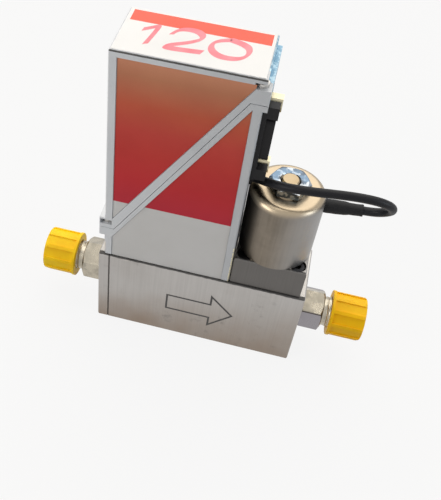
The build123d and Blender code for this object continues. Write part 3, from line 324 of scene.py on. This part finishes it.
block_low, block_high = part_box("base_block")
valve_low, valve_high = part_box("valve_block")
seam, top_shade_back = block_low[0], -11.2 * MM
dirt_and_shade_tint = (0.27, 0.265, 0.26)
steel = ground_steel(
    "ground_steel", (0.457, 0.437, 0.418), (0.26, 0.197, 0.149), (0.346, 0.317, 0.288),
    block_high[2] - 0.3 * MM,
    # The dark joint between block and end plate.
    lambda along, across, height: (along > seam - 0.15 * MM) * (along < seam + 0.5 * MM) * 0.85,
)
valve_steel = ground_steel(
    "valve_block_steel", (0.415, 0.397, 0.38), (0.397, 0.37, 0.343), (0.325, 0.307, 0.29),
    valve_high[2] - 0.1 * MM,
    # A painted shade on the valve block's front.
    lambda along, across, height: (across < valve_low[1] + 0.3 * MM) * 0.9,
)
print("ground steel:", steel.name, valve_steel.name, "seam at", round(seam / MM, 2))

# %% [markdown]
# Turned metals
# Screws, pins and tubes are turned, so fine rings run round them. Rings round Z need a pattern that
# changes only with height, which a noise squeezed along Z and drawn out along X and Y gives. Rings round
# X swap those numbers. One recipe with other colours makes steel, zinc, copper, gold and aluminium.

# %% Finish: turned metals
rings_round_z, rings_round_x = (60.0, 60.0, 5200.0), (5200.0, 60.0, 60.0)


def metal_marks(look, colour, dark, rough, drawn_out):
    """The marks, the roughness and the tone of a worked metal."""
    marks = look.grain(1.0, look.stretched(*drawn_out), detail=3.0)
    patches = look.grain(90.0, detail=3.0, roughness=0.55).between(0.35, 0.72)
    smudges = look.grain(260.0, detail=2.0).between(0.45, 0.8)
    sheen = marks * 0.1 + patches * 0.09 + (rough - 0.08)
    tone = look.mix(patches * 0.5 + smudges * 0.2 + marks.between(0.4, 0.65) * 0.3, colour, dark)
    return marks, sheen, tone


def turned_metal(name, colour, dark, rough, rings=rings_round_z, depth=0.25):
    look = Look(name, Metallic=1.0)
    marks, sheen, tone = metal_marks(look, colour, dark, rough, rings)
    look.set(Base_Color=tone, Roughness=sheen, Normal=look.bump(marks, 0.02 * MM, depth))
    return look.material


plain = turned_metal("fastener_steel", (0.6, 0.58, 0.55), (0.48, 0.46, 0.44), 0.3)
blackened = turned_metal("blackened_steel", (0.06, 0.06, 0.065), (0.03, 0.03, 0.033), 0.4)
zinc = turned_metal("zinc_plated_steel", (0.66, 0.6, 0.42), (0.54, 0.48, 0.33), 0.35)
copper = turned_metal("copper_wire", (0.72, 0.36, 0.2), (0.55, 0.26, 0.13), 0.35)
gold = turned_metal("gold_contact", (0.85, 0.65, 0.28), (0.7, 0.5, 0.2), 0.22, rings_round_x)
aluminium = turned_metal("aluminium_shell", (0.75, 0.76, 0.78), (0.6, 0.6, 0.62), 0.35)
stud_gold = turned_metal("stud_steel", (0.36, 0.285, 0.184), (0.3, 0.217, 0.125), 0.3, depth=0.15)
print("turned metals ready")

# %% [markdown]
# The coil's can
# The can is drawn from sheet and brushed upright, so its marks run up its side. Its rounded shoulder and
# top are polished and carry a painted warm reflection in straw. Towards the housing the side is painted
# dark, a painted reflection of the housing, and away from it a paler grey is painted as the lit side.
# Each of these is a mask on the place, which mixes in one more colour.

# %% Finish: the coil's can
look = Look("can_steel", Metallic=1.0)
can_low, can_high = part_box("coil_can")
brushed_upright = (900.0, 900.0, 40.0)
marks, sheen, tone = metal_marks(look, (0.235, 0.2, 0.16), (0.168, 0.143, 0.113), 0.46, brushed_upright)
along, _, height = look.axes()
shoulder = can_high[2] - 0.4 * MM
dark_reflection_to = can_low[0] + 6.0 * MM
# The polished shoulder and top, which also carry a painted warm reflection.
polish_and_warm_reflection = height.between(shoulder - 2.5 * MM, shoulder)
# A painted lit side: a paler grey away from the housing.
painted_lit_side = along.between(dark_reflection_to + 3 * MM, dark_reflection_to + 19 * MM) * (1 - polish_and_warm_reflection)
# A painted dark reflection of the housing, on the side that faces it.
painted_dark_reflection = along.between(dark_reflection_to - 5.5 * MM, dark_reflection_to, 1.0, 0.0) * (height < shoulder - 2.2 * MM)
tone = look.mix(polish_and_warm_reflection * 0.8, tone, (0.47, 0.378, 0.26))
tone = look.mix(painted_lit_side, tone, (0.31, 0.302, 0.294))
look.set(
    Base_Color=look.mix(painted_dark_reflection * 0.88, tone, (0.02, 0.018, 0.018)),
    Roughness=sheen * (1 - polish_and_warm_reflection * 0.35),
    Normal=look.bump(marks, 0.02 * MM, 0.4),
)
satin = look.material
print("can finish:", satin.name, "polished above", round(shoulder / MM, 1))

# %% [markdown]
# The fittings
# The two fittings are bright steel with a straw tint and small dents from spanners, so the bump is a
# coarse noise as well as the rings. The outlet's hexagon has a facet that faces down, painted duller and
# bluish as painted shade, with a painted dark shade line where it meets the facet above. Both are masks
# on the place, because one piece has one material here.

# %% Finish: bright fittings
look = Look("fitting_steel", Metallic=1.0)
along, _, height = look.axes()
marks = look.grain(1.0, look.stretched(*rings_round_x), detail=3.0)
patches = look.grain(210.0, detail=3.0, roughness=0.6).between(0.4, 0.66)
dents = look.grain(420.0) * 6
corner_height, hexagon_end, crease_width = 23.2 * MM, 47.2 * MM, 0.55 * MM
# Painted shade on the hexagon's lower facet, and a painted dark line above it.
shaded_lower_facet = (along > 0.0) * (along < hexagon_end) * (height < corner_height)
painted_crease_shade = shaded_lower_facet * (height > corner_height - crease_width)
tone = look.mix(patches * 0.75, (0.49, 0.442, 0.355), (0.284, 0.26, 0.213))
tone = look.mix(shaded_lower_facet, tone, (0.3, 0.283, 0.3))
look.set(
    Base_Color=look.mix(painted_crease_shade * 0.9, tone, (0.05, 0.04, 0.035)),
    Roughness=marks * 0.1 + patches * 0.1 + 0.2,
    Normal=look.bump(marks + dents, 0.02 * MM, 0.5),
)
bright = look.material
print("fitting finish:", bright.name)

# %% [markdown]
# The nut
# The nut that holds the can is chromed, and its colour carries painted reflections of its surroundings:
# hard patches of light steel, dark steel and blue. They come from a noise with a narrow range between its
# two tones, and a strong bump breaks the reflections up. A painted shadow makes a dark ring in the gap
# round the stud: the distance from the stud's axis is worked out from X and Y.

# %% Finish: bright nut
look = Look("nut_chrome", Metallic=1.0)
along, across, _ = look.axes()
stud_low, stud_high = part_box("valve_sleeve")
stud_x = (stud_low[0] + stud_high[0]) / 2
patches = look.grain(330.0, detail=3.0, roughness=0.6)
painted_blue_reflection = look.grain(210.0, detail=2.0).between(0.42, 0.55)
from_stud = ((along - stud_x) * (along - stud_x) + across * across) ** 0.5
# A painted shadow in the gap round the stud.
painted_shadow_ring = from_stud.between(2.5 * MM, 3.0 * MM, 1.0, 0.0)
# Painted reflections: hard light and dark patches, and blue.
tone = look.mix(patches.between(0.46, 0.54), (0.083, 0.1, 0.125), (0.415, 0.44, 0.465))
tone = look.mix(painted_blue_reflection * 0.6, tone, (0.166, 0.25, 0.35))
look.set(
    Base_Color=look.mix(painted_shadow_ring * 0.9, tone, (0.015, 0.015, 0.015)),
    Roughness=patches * 0.1 + 0.1,
    Normal=look.bump(patches + look.grain(1500.0) * 0.2, 0.4 * MM, 0.5),
)
chrome = look.material
print("nut finish:", chrome.name, "round the stud at", round(stud_x / MM, 1))

# %% [markdown]
# Plastics and rubbers
# Moulded plastic and rubber have a satin skin. Under a glass it is a fine pebble, so a small noise drives
# the bump, and a wide one changes the shade as fingers do. The same recipe with other numbers makes the
# connector, the board, the rubber pieces and the hidden plastics.


# %% Finish: moulded plastic and rubber
def moulded_skin(look, colour, worn, rough, pebble=2600.0, depth=0.12):
    """Sets the roughness and the bump of a moulded skin, and gives its tone."""
    skin = look.grain(pebble, detail=2.0)
    handling = look.grain(70.0, detail=4.0, roughness=0.6).between(0.38, 0.75)
    flecks = look.grain(900.0, detail=1.0).between(0.62, 0.75)
    look.set(
        Roughness=skin * 0.08 + handling * 0.1 + (rough - 0.08),
        Normal=look.bump(skin, 0.04 * MM, depth),
    )
    return look.mix(handling * 0.7 + flecks * 0.3, colour, worn)


def moulded(name, colour, worn, rough, specular=0.5, **skin):
    look = Look(name, Specular_IOR_Level=specular)
    look.set(Base_Color=moulded_skin(look, colour, worn, rough, **skin))
    return look.material


inner_grey = moulded("inner_grey", (0.5, 0.5, 0.5), (0.42, 0.42, 0.42), 0.5)
black_plastic = moulded("black_plastic", (0.012, 0.011, 0.012), (0.022, 0.02, 0.021), 0.5, 0.25)
seal_black = moulded("seal_rubber", (0.02, 0.02, 0.02), (0.04, 0.04, 0.04), 0.6)
grommet_black = moulded("grommet_rubber", (0.01, 0.01, 0.011), (0.02, 0.02, 0.022), 0.5, 0.2)
lead_black = moulded("lead_jacket", (0.008, 0.008, 0.01), (0.014, 0.014, 0.017), 0.46, 0.2)
boot_black = moulded(
    "shrink_sleeve", (0.01, 0.01, 0.011), (0.02, 0.02, 0.022), 0.55, 0.2, pebble=1400.0, depth=0.3,
)
board_green = moulded("solder_mask", (0.03, 0.2, 0.08), (0.02, 0.14, 0.06), 0.3)
etched = moulded("etched_line", (0.045, 0.042, 0.04), (0.12, 0.11, 0.1), 0.5, pebble=3000.0)
print("plastics and rubbers ready")

# %% [markdown]
# The housing
# The housing is moulded in silver-grey with a little metal in the paint. Four masks, each measured from
# the upper shell's box, paint light and shade on it: a painted shade darkens it towards its right end, a
# painted dark reflection lies along the front edge of the top, a painted blue reflection of the sky lies
# over the upper right corner, and painted glints sparkle low down beside the coil. A coarse noise added
# to the place makes the masks ragged.

# %% Finish: painted housing
look = Look("housing_grey", Metallic=0.2, Specular_IOR_Level=0.5)
worn_and_shaded_grey = (0.57, 0.585, 0.605)
tone = moulded_skin(look, (0.65, 0.665, 0.685), worn_and_shaded_grey, 0.42)
(left, front, foot), (right, _, top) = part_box("upper_cover")
along, across, height = look.axes()

edge_width, glint_reach = 0.42 * MM, 0.8 * MM
uneven = look.grain(700.0) * (0.12 * MM)
# A painted dark reflection along the front edge of the top.
dark_edge_reflection = (across + uneven < front + edge_width) * (height + uneven > top - edge_width)
ragged = look.grain(150.0, detail=3.0) * (9 * MM)
# A painted blue reflection of the sky over the upper right corner.
painted_sky_reflection = (along > right - 1.9 * MM) * (height > top - 20 * MM + ragged) * (across > front + ragged)
reflection_ripples = look.grain(420.0, detail=3.0, roughness=0.7).between(0.42, 0.6)
sky_reflection_blue = look.mix(reflection_ripples, (0.16, 0.4, 0.58), (0.55, 0.78, 0.9))
# Painted glints low down beside the coil.
near_coil = (along > can_low[0] - glint_reach) * (across < front + 0.6 * MM) * (height < foot + 4 * MM)
painted_glints = near_coil * look.grain(1300.0).between(0.42, 0.5)

# A painted shade towards the right end.
tone = look.mix(along.between(left + 5 * MM, right) * 0.4, tone, darker(worn_and_shaded_grey, 0.62))
tone = look.mix(painted_sky_reflection * 0.85, tone, sky_reflection_blue)
tone = look.mix(painted_glints, tone, (1.0, 0.9, 0.62))
look.set(Base_Color=look.mix(dark_edge_reflection * 0.93, tone, (0.02, 0.017, 0.012)))
housing_grey = look.material
print("housing finish:", housing_grey.name, "top at", round(top / MM, 1))

# %% [markdown]
# Yellow caps
# The caps are soft yellow polyethylene. It lets a little light in, so a shaded side turns amber instead
# of grey, and its skin is waxy with fine scuffs along the grip. The outlet's cap is painted a shade more
# amber than the inlet's as painted shade, so a threshold on X chooses between two yellows.

# %% Finish: yellow polyethylene
look = Look(
    "cap_yellow", Specular_IOR_Level=0.2, Subsurface_Weight=0.12, Subsurface_Scale=2 * MM,
    Subsurface_Radius=(1.0, 0.5, 0.08),
)
scuffs = look.grain(1.0, look.stretched(300.0, 2600.0, 2600.0), detail=3.0)
clouds = look.grain(150.0, detail=3.0).between(0.35, 0.75)
# Painted shade: the outlet's cap is a darker, more amber yellow.
shaded_outlet_side = look.axes()[0] > 0.0
lemon = look.mix(shaded_outlet_side * 0.75, (1.0, 0.67, 0.01), (0.94, 0.5, 0.003))
look.set(
    Base_Color=look.mix(clouds * 0.5 + scuffs.between(0.6, 0.8) * 0.3, lemon, (0.9, 0.46, 0.004)),
    Roughness=scuffs * 0.12 + clouds * 0.08 + 0.36,
    Normal=look.bump(scuffs + look.grain(1800.0) * 0.5, 0.05 * MM, 0.25),
)
yellow = look.material
print("cap finish:", yellow.name)

# %% [markdown]
# The front print
# One print runs behind both halves of the front: orange at the top, deepening to crimson, and bare
# grey-white below. Each label is a film, so both can share a material that reads the height above the
# base. A colour ramp holds the stops, and a fine dot pattern breaks the colour up as print does.


# %% Finish: front print
def printed_film(look):
    """Sets the satin skin of a printed film, and gives its dots and its fading."""
    dots = look.grain(5200.0, detail=1.0)
    fade = look.grain(60.0, detail=3.0).between(0.3, 0.8)
    look.set(Roughness=dots * 0.06 + fade * 0.08 + 0.42, Normal=look.bump(dots, 0.02 * MM, 0.12))
    return dots, fade


look = Look("front_print", Specular_IOR_Level=0.3)
dots, fade = printed_film(look)
height = look.axes()[2]
print_foot, print_top, edge_blur = 65.0 * MM, 124.0 * MM, 0.1 * MM
rise = look.node("ShaderNodeMapRange", None, height, print_foot, print_top, 0.0, 1.0)
stops = [
    (0.0, (0.56, 0.012, 0.035)), (0.2, (0.6, 0.016, 0.022)), (0.4, (0.61, 0.035, 0.025)),
    (0.55, (0.63, 0.06, 0.04)), (0.72, (0.62, 0.115, 0.05)), (0.9, (0.58, 0.24, 0.12)),
    (1.0, (0.72, 0.32, 0.18)),
]
ink = look.node("ShaderNodeValToRGB", {"stops": stops}, rise)
ink = look.mix(dots * 0.2 + fade * 0.16, ink, (0.3, 0.02, 0.025))
paper = look.mix(fade * 0.5 + dots * 0.1, (0.7, 0.69, 0.68), (0.62, 0.61, 0.59))
inked = (look.grain(900.0) * (0.12 * MM) + height).between(print_foot - edge_blur, print_foot + edge_blur)
look.set(Base_Color=look.mix(inked, paper, ink))
front_print = look.material
print("front print from", print_foot / MM, "to", print_top / MM)

# %% [markdown]
# The top print
# The label on top is white with an orange-red band near its back edge. Two thresholds on Y make the
# band, and two on X close it, because the label's ends are left white.

# %% Finish: top print
look = Look("top_print", Specular_IOR_Level=0.3)
dots, fade = printed_film(look)
along, across, _ = look.axes()
band_left, band_right, band_front, band_back = -34.7 * MM, 8.8 * MM, 4.9 * MM, 11.0 * MM
band = (across > band_front) * (across < band_back) * (along > band_left) * (along < band_right)
paper = look.mix(fade * 0.4 + dots * 0.1, (0.84, 0.83, 0.82), (0.76, 0.75, 0.74))
ink = look.mix(dots * 0.14 + fade * 0.1, (0.85, 0.12, 0.07), (0.6, 0.08, 0.05))
look.set(Base_Color=look.mix(band, paper, ink))
top_print = look.material
print("top print band, mm:", round((band_right - band_left) / MM, 1), "long")

# %% [markdown]
# Which finish goes on which piece
# Each rigid piece names a material slot in its record, so most finishes are dealt out by slot. A few
# pieces share a slot with others and get a finish of their own by name.

# %% Deal out the finishes
slot_finish = {
    "steel": steel, "satin_steel": satin, "fitting_steel": bright, "bright_steel": chrome,
    "fastener_steel": plain, "dark_steel": blackened, "zinc_steel": zinc, "seal_rubber": seal_black,
    "black_rubber": grommet_black, "black_plastic": black_plastic, "yellow_plastic": yellow,
    "grey_housing": housing_grey, "grey_plastic": inner_grey, "orange_label": front_print,
    "white_label": front_print, "copper_wire": copper, "gold_contact": gold, "green_board": board_green,
    "aluminium_shell": aluminium,
}
own_finish = {"top_label": top_print, "valve_block": valve_steel, "valve_sleeve": stud_gold}
slot_of = {row["node"]: row["material_slot"] for row in frame["record"]["subparts"]}
for name, node in frame["nodes"].items():
    node.data.materials.clear()
    node.data.materials.append(own_finish.get(name) or slot_finish[slot_of[name]])
print("finishes dealt to", len(frame["nodes"]), "pieces")

# %% [markdown]
# From bmesh to piece
# Every new mesh below starts as a bmesh, so one helper turns it into an object that sits at the origin
# with its place in its vertices. Edges sharper than the given angle stay crisp, and the rest shade
# smooth, which is what a moulded or turned surface does.


# %% Helper: a bmesh becomes a piece
def piece(name, mesh, finish=None, sharp=40.0):
    data = bpy.data.meshes.new(name)
    for edge in mesh.edges:
        edge.smooth = len(edge.link_faces) != 2 or edge.calc_face_angle(0.0) < math.radians(sharp)
    for face in mesh.faces:
        face.smooth = True
    mesh.to_mesh(data)
    mesh.free()
    made = bpy.data.objects.new(name, data)
    bpy.context.scene.collection.objects.link(made)
    if finish:
        data.materials.append(finish)
    print(f"{name}: {len(data.polygons)} faces")
    return made


print("helper ready:", piece.__name__)

# %% [markdown]
# A lathe
# Round shapes are easiest to give as half a section, which bmesh's spin turns once round Z. The first
# and last points may lie on the axis, and the vertices that meet there are merged. A second helper sets
# what was turned along any direction.


# %% Helper: a lathe
def turned(profile, steps):
    """A bmesh turned about Z from (radius, height) pairs, in millimetres, closed where it meets the axis."""
    mesh = bmesh.new()
    line = [mesh.verts.new((radius * MM, 0.0, height * MM)) for radius, height in profile]
    edges = [mesh.edges.new(pair) for pair in zip(line, line[1:])]
    bmesh.ops.spin(
        mesh, geom=line + edges, cent=(0, 0, 0), axis=(0, 0, 1), dvec=(0, 0, 0),
        angle=2 * math.pi, steps=steps, use_merge=True,
    )
    bmesh.ops.remove_doubles(mesh, verts=mesh.verts, dist=1e-7)
    bmesh.ops.recalc_face_normals(mesh, faces=mesh.faces)
    return mesh


def set_along(mesh, origin, direction):
    """Moves a bmesh made along Z so that it starts at a point, in metres, and runs along a direction."""
    turn = Vector((0, 0, 1)).rotation_difference(Vector(direction)).to_matrix().to_4x4()
    bmesh.ops.transform(mesh, matrix=Matrix.Translation(Vector(origin)) @ turn, verts=mesh.verts)


print("helpers ready:", turned.__name__, set_along.__name__)

# %% [markdown]
# The lead's shrink sleeve
# Where the lead enters the coil it is held by a short heat-shrunk sleeve: fat at the coil, then
# stepping down to grip the jacket. It is a turned shape with a few soft wrinkles, which come from
# moving each vertex in or out by a smooth noise. The long edges are divided first, so that there are
# vertices to move.


# %% Shrink sleeve
def climb(edge):
    """How far apart in height the two ends of an edge are."""
    return abs(edge.verts[0].co.z - edge.verts[1].co.z)


sleeve = turned(
    [(0.0, 0.0), (2.3, 0.0), (2.45, 0.3), (2.45, 3.0), (2.42, 6.0), (2.36, 8.2), (2.18, 9.2), (2.04, 9.9),
     (2.02, 11.5), (2.0, 13.4), (2.08, 14.0), (2.0, boot_length), (lead_thickness / 2, boot_length),
     (0.0, 14.35)],
    steps=48,
)
long_edges = [edge for edge in sleeve.edges if climb(edge) > 0.8 * MM]
bmesh.ops.subdivide_edges(sleeve, edges=long_edges, cuts=5, use_grid_fill=True)
wrinkle_depth, wrinkles = 0.035, Vector((260.0, 260.0, 520.0))
for vertex in sleeve.verts:
    if vertex.co.xy.length > 1.7 * MM and 0.2 * MM < vertex.co.z < (boot_length - 0.2) * MM:
        vertex.co.xy *= 1 + wrinkle_depth * noise.noise(vertex.co * wrinkles)
set_along(sleeve, boot_root * MM, boot_along)
sleeve = piece("shrink_sleeve", sleeve, boot_black, 60)
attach(sleeve, "controller")
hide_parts("lead_boot")

# %% [markdown]
# The lead runs from the housing's grommet to the sleeve on the coil, and both go with it.

lead_curve.materials.append(lead_black)
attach(lead, "controller")
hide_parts("valve_lead")

# %% [markdown]
# Thread on the fittings
# Between each hexagon and its cap a few turns of thread show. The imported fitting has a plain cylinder
# there, so a thin ridge is wound on it: a small section is spun round the axis while it also moves
# along it, which is how a thread is cut.

# %% Thread
root_radius, crest_radius, pitch, thread_turns, steps_in_turn = 5.45, 5.72, 1.27, 9, 40
thread_start = block_high[0] + 8.9 * MM
fitting_low, fitting_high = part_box("outlet_fitting")
fitting_height = (fitting_low[2] + fitting_high[2]) / 2


def thread(name, side):
    ridge = [(root_radius, 0, 0), (crest_radius, 0, 0.45), (crest_radius, 0, 0.6), (root_radius, 0, 1.05)]
    mesh = bmesh.new()
    section = [mesh.verts.new(Vector(point) * MM) for point in ridge]
    face = mesh.faces.new(section)
    bmesh.ops.spin(
        mesh, geom=[face] + list(face.edges) + section, cent=(0, 0, 0), axis=(0, 0, 1),
        dvec=(0, 0, pitch * MM / steps_in_turn), angle=2 * math.pi * thread_turns,
        steps=steps_in_turn * thread_turns,
    )
    bmesh.ops.recalc_face_normals(mesh, faces=mesh.faces)
    set_along(mesh, (side * thread_start, 0.0, fitting_height), (side, 0, 0))
    made = piece(name, mesh, bright)
    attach(made, "controller")


thread("inlet_thread", -1)
thread("outlet_thread", 1)

# %% [markdown]
# The valve spring
# The plunger's return spring shortens when the plunger lifts. The imported spring is rigid, so a helix of
# the same size takes its place: a round section is spun and lifted at once, as the thread was.

# %% Valve spring
spring_low, spring_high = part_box("plunger_spring")
wire, coils, steps_in_coil, travel = 0.5 * MM, 6, 32, 0.4 * MM
spring_x = (spring_low[0] + spring_high[0]) / 2
coil_radius = (spring_high[0] - spring_low[0]) / 2 - wire / 2
spring_height = spring_high[2] - spring_low[2]
spring = bmesh.new()
wire_end = Matrix.Translation((spring_x + coil_radius, 0, spring_low[2] + wire / 2))
upright = Matrix.Rotation(math.pi / 2, 4, "X")
bmesh.ops.create_circle(spring, cap_ends=True, segments=12, radius=wire / 2, matrix=wire_end @ upright)
bmesh.ops.spin(
    spring, geom=list(spring.verts) + list(spring.edges) + list(spring.faces), cent=(spring_x, 0, 0),
    axis=(0, 0, 1), dvec=(0, 0, (spring_height - wire) / (coils * steps_in_coil)),
    angle=2 * math.pi * coils, steps=coils * steps_in_coil,
)
bmesh.ops.recalc_face_normals(spring, faces=spring.faces)
spring = piece("valve_spring", spring, plain, 50)
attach(spring, "controller")
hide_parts("plunger_spring")
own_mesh(spring)

# %% [markdown]
# The flow arrow
# A bare arrow is marked on the front of the block. It could be painted by the material, but as a thin
# outline of its own it stays crisp at any distance. The arrow's polygon is one face: insetting it makes
# a rim of even width, and deleting the middle leaves the line.

# %% Flow arrow
line_width, line_height = 0.75 * MM, 0.03 * MM
arrow_points = [
    (-11.6, 22.6), (5.2, 22.6), (5.2, 27.9), (14.6, 18.3), (5.2, 8.9), (5.2, 14.0), (-11.6, 14.0),
]
arrow = bmesh.new()
field = arrow.faces.new([arrow.verts.new((x * MM, block_low[1], z * MM)) for x, z in arrow_points])
arrow.normal_update()
bmesh.ops.inset_individual(arrow, faces=[field], thickness=line_width, use_even_offset=True)
bmesh.ops.delete(arrow, geom=[field], context="FACES_ONLY")
bmesh.ops.recalc_face_normals(arrow, faces=arrow.faces)
rim = bmesh.ops.extrude_face_region(arrow, geom=list(arrow.faces))["geom"]
raised = [item for item in rim if isinstance(item, bmesh.types.BMVert)]
bmesh.ops.translate(arrow, vec=(0, -line_height, 0), verts=raised)
bmesh.ops.recalc_face_normals(arrow, faces=arrow.faces)
arrow = piece("flow_arrow", arrow, etched, 30)
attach(arrow, "controller")

# %% [markdown]
# The pen's ink
# Somebody wrote a number on the top label with a pink-red felt pen. Ink on a glossy film dries unevenly,
# so a wide noise mixes in a paler pink where it lies thin, and a fine noise streaks it.

# %% Finish: felt pen
look = Look("felt_pen", Specular_IOR_Level=0.3)
streaks = look.grain(900.0, detail=3.0)
wet = look.grain(160.0, detail=3.0).between(0.3, 0.75)
look.set(
    Base_Color=look.mix(wet * 0.6 + streaks * 0.25, (0.84, 0.2, 0.24), (0.9, 0.36, 0.4)),
    Roughness=streaks * 0.15 + 0.45,
)
felt_pen = look.material
print("pen finish:", felt_pen.name)

# %% [markdown]
# The number on top
# The pen's nib is broad, so a line is thick one way and thin the other. Each stroke is a round tube
# along a smooth curve, swept in a space that the nib's matrix then flattens. Made into one mesh and
# pressed flat, the strokes lie just above the film.

# %% Felt pen number
pen_width, pressed_flat, ink_height = 2.7, 0.012, 125.81 * MM
nib_angle, nib_squash = math.radians(62.0), 0.42
nib_turn = Matrix.Rotation(nib_angle, 3, "Z")
nib = nib_turn @ Matrix.Diagonal((1.0, nib_squash, 1.0)) @ nib_turn.transposed()


def stroke(points):
    """A pen line through points in millimetres, as a mesh round the height 0."""
    curve = bpy.data.curves.new("stroke", "CURVE")
    curve.dimensions = "3D"
    line = curve.splines.new("NURBS")
    line.points.add(len(points) - 1)
    for point, (x, y) in zip(line.points, points):
        point.co = (*(nib.inverted() @ Vector((x * MM, y * MM, 0.0))), 1.0)
    line.order_u = 3
    line.use_endpoint_u = True
    line.resolution_u = 12
    curve.bevel_depth = pen_width / 2 * MM
    curve.bevel_resolution = 3
    curve.use_fill_caps = True
    carrier = bpy.data.objects.new("stroke", curve)
    bpy.context.scene.collection.objects.link(carrier)
    flat = bpy.data.meshes.new_from_object(carrier.evaluated_get(bpy.context.evaluated_depsgraph_get()))
    bpy.data.objects.remove(carrier)
    flat.transform(nib.to_4x4())
    return flat


digits = [
    [(-29.6, 0.9), (-27.0, 2.9), (-25.1, 4.4), (-25.9, -0.6), (-27.0, -6.4)],
    [(-20.8, 1.0), (-19.6, 4.8), (-13.4, 5.6), (-10.8, 2.2), (-14.8, -1.6), (-21.8, -5.4), (-19.8, -6.2),
     (-14.4, -5.7), (-10.2, -5.2)],
    [(-3.0, 4.0), (-7.4, 2.6), (-8.8, -2.2), (-5.4, -5.8), (0.8, -5.4), (3.4, -1.2), (2.0, 3.0), (-3.4, 4.1)],
]
pen = bmesh.new()
for points in digits:
    pen.from_mesh(stroke(points))
bmesh.ops.scale(pen, vec=(1.0, 1.0, pressed_flat), verts=pen.verts)
bmesh.ops.translate(pen, vec=(0, 0, ink_height), verts=pen.verts)
number = piece("felt_pen_number", pen, felt_pen, 80)
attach(number, "controller")

# %% [markdown]
# The floor
# The controller stands on a plain pale floor. To the camera, in reflections and through glass it shows
# nearly white, by way of Light Path, but it throws back less light than it shows, so that it doesn't
# light the object from below. The part that isn't glow still takes the object's shadow.

# %% Floor
floor_reach, floor_glow = 3.0, 0.87
floor_mesh = bmesh.new()
bmesh.ops.create_grid(floor_mesh, x_segments=4, y_segments=4, size=floor_reach)
floor = piece("floor", floor_mesh)
look = Look("floor_paint", Roughness=0.9)
speck = look.grain(30.0, detail=3.0)
look.set(Base_Color=look.mix(speck * 0.3, (0.5, 0.49, 0.475), (0.46, 0.45, 0.44)))
paint = Value(look, look.shader.outputs[0])
glow = look.node("ShaderNodeEmission", None, (1.0, 1.0, 1.0), 1.0)
shown = look.node("ShaderNodeMixShader", None, look.shown() * floor_glow, paint, glow)
look.tree.links.new(shown.socket, look.tree.nodes["Material Output"].inputs["Surface"])
floor.data.materials.append(look.material)

# %% [markdown]
# The room
# The room's own light is soft, and stronger from above and behind than from the front, because the
# world's colour follows the direction it is seen in. What the camera and the shiny pieces see of the
# room is plain white.

# %% The room
world = bpy.data.worlds.new("studio")
bpy.context.scene.world = world
world.use_nodes = True
room = Nodes(world.node_tree, "Generated")
_, backwards, upwards = room.axes()
lit = (backwards * 0.55 + upwards * 0.75).between(0.1, 0.95)
walls = room.mix(lit, (0.12, 0.13, 0.15), (0.72, 0.7, 0.66))
sky = room.node("ShaderNodeBackground", None, walls, 0.8)
white = room.node("ShaderNodeBackground", None, (0.95, 0.95, 0.95), 1.0)
both = room.node("ShaderNodeMixShader", None, room.shown(), sky, white)
room.tree.links.new(both.socket, room.tree.nodes["World Output"].inputs["Surface"])
print("room:", world.name)

# %% [markdown]
# The lamps
# One large lamp overhead lights the top most and the front less, as a ceiling light does, and a small
# lamp on each side stands for a window. A lamp is aimed by turning its own -Z towards a point.


# %% Lamps
lit_point = Vector((0, 0, 50 * MM))


def lamp(name, place, size, power, colour):
    light = bpy.data.lights.new(name, "AREA")
    light.shape, light.size, light.energy, light.color = "SQUARE", size, power, colour
    made = bpy.data.objects.new(name, light)
    bpy.context.scene.collection.objects.link(made)
    made.location = place
    made.rotation_mode = "QUATERNION"
    made.rotation_quaternion = (lit_point - Vector(place)).to_track_quat("-Z", "Y")
    return made


lamps = [
    lamp("ceiling", (-0.2, 0.62, 1.1), 2.0, 18.5, (1.0, 0.965, 0.9)),
    lamp("left_window", (-0.36, -0.3, 0.3), 0.24, 1.0, (1.0, 0.98, 0.95)),
    lamp("right_window", (0.6, -0.12, 0.3), 0.3, 1.2, (0.8, 0.9, 1.0)),
]
bpy.context.scene.view_settings.view_transform = "Standard"
print("lamps:", [made.name for made in lamps])
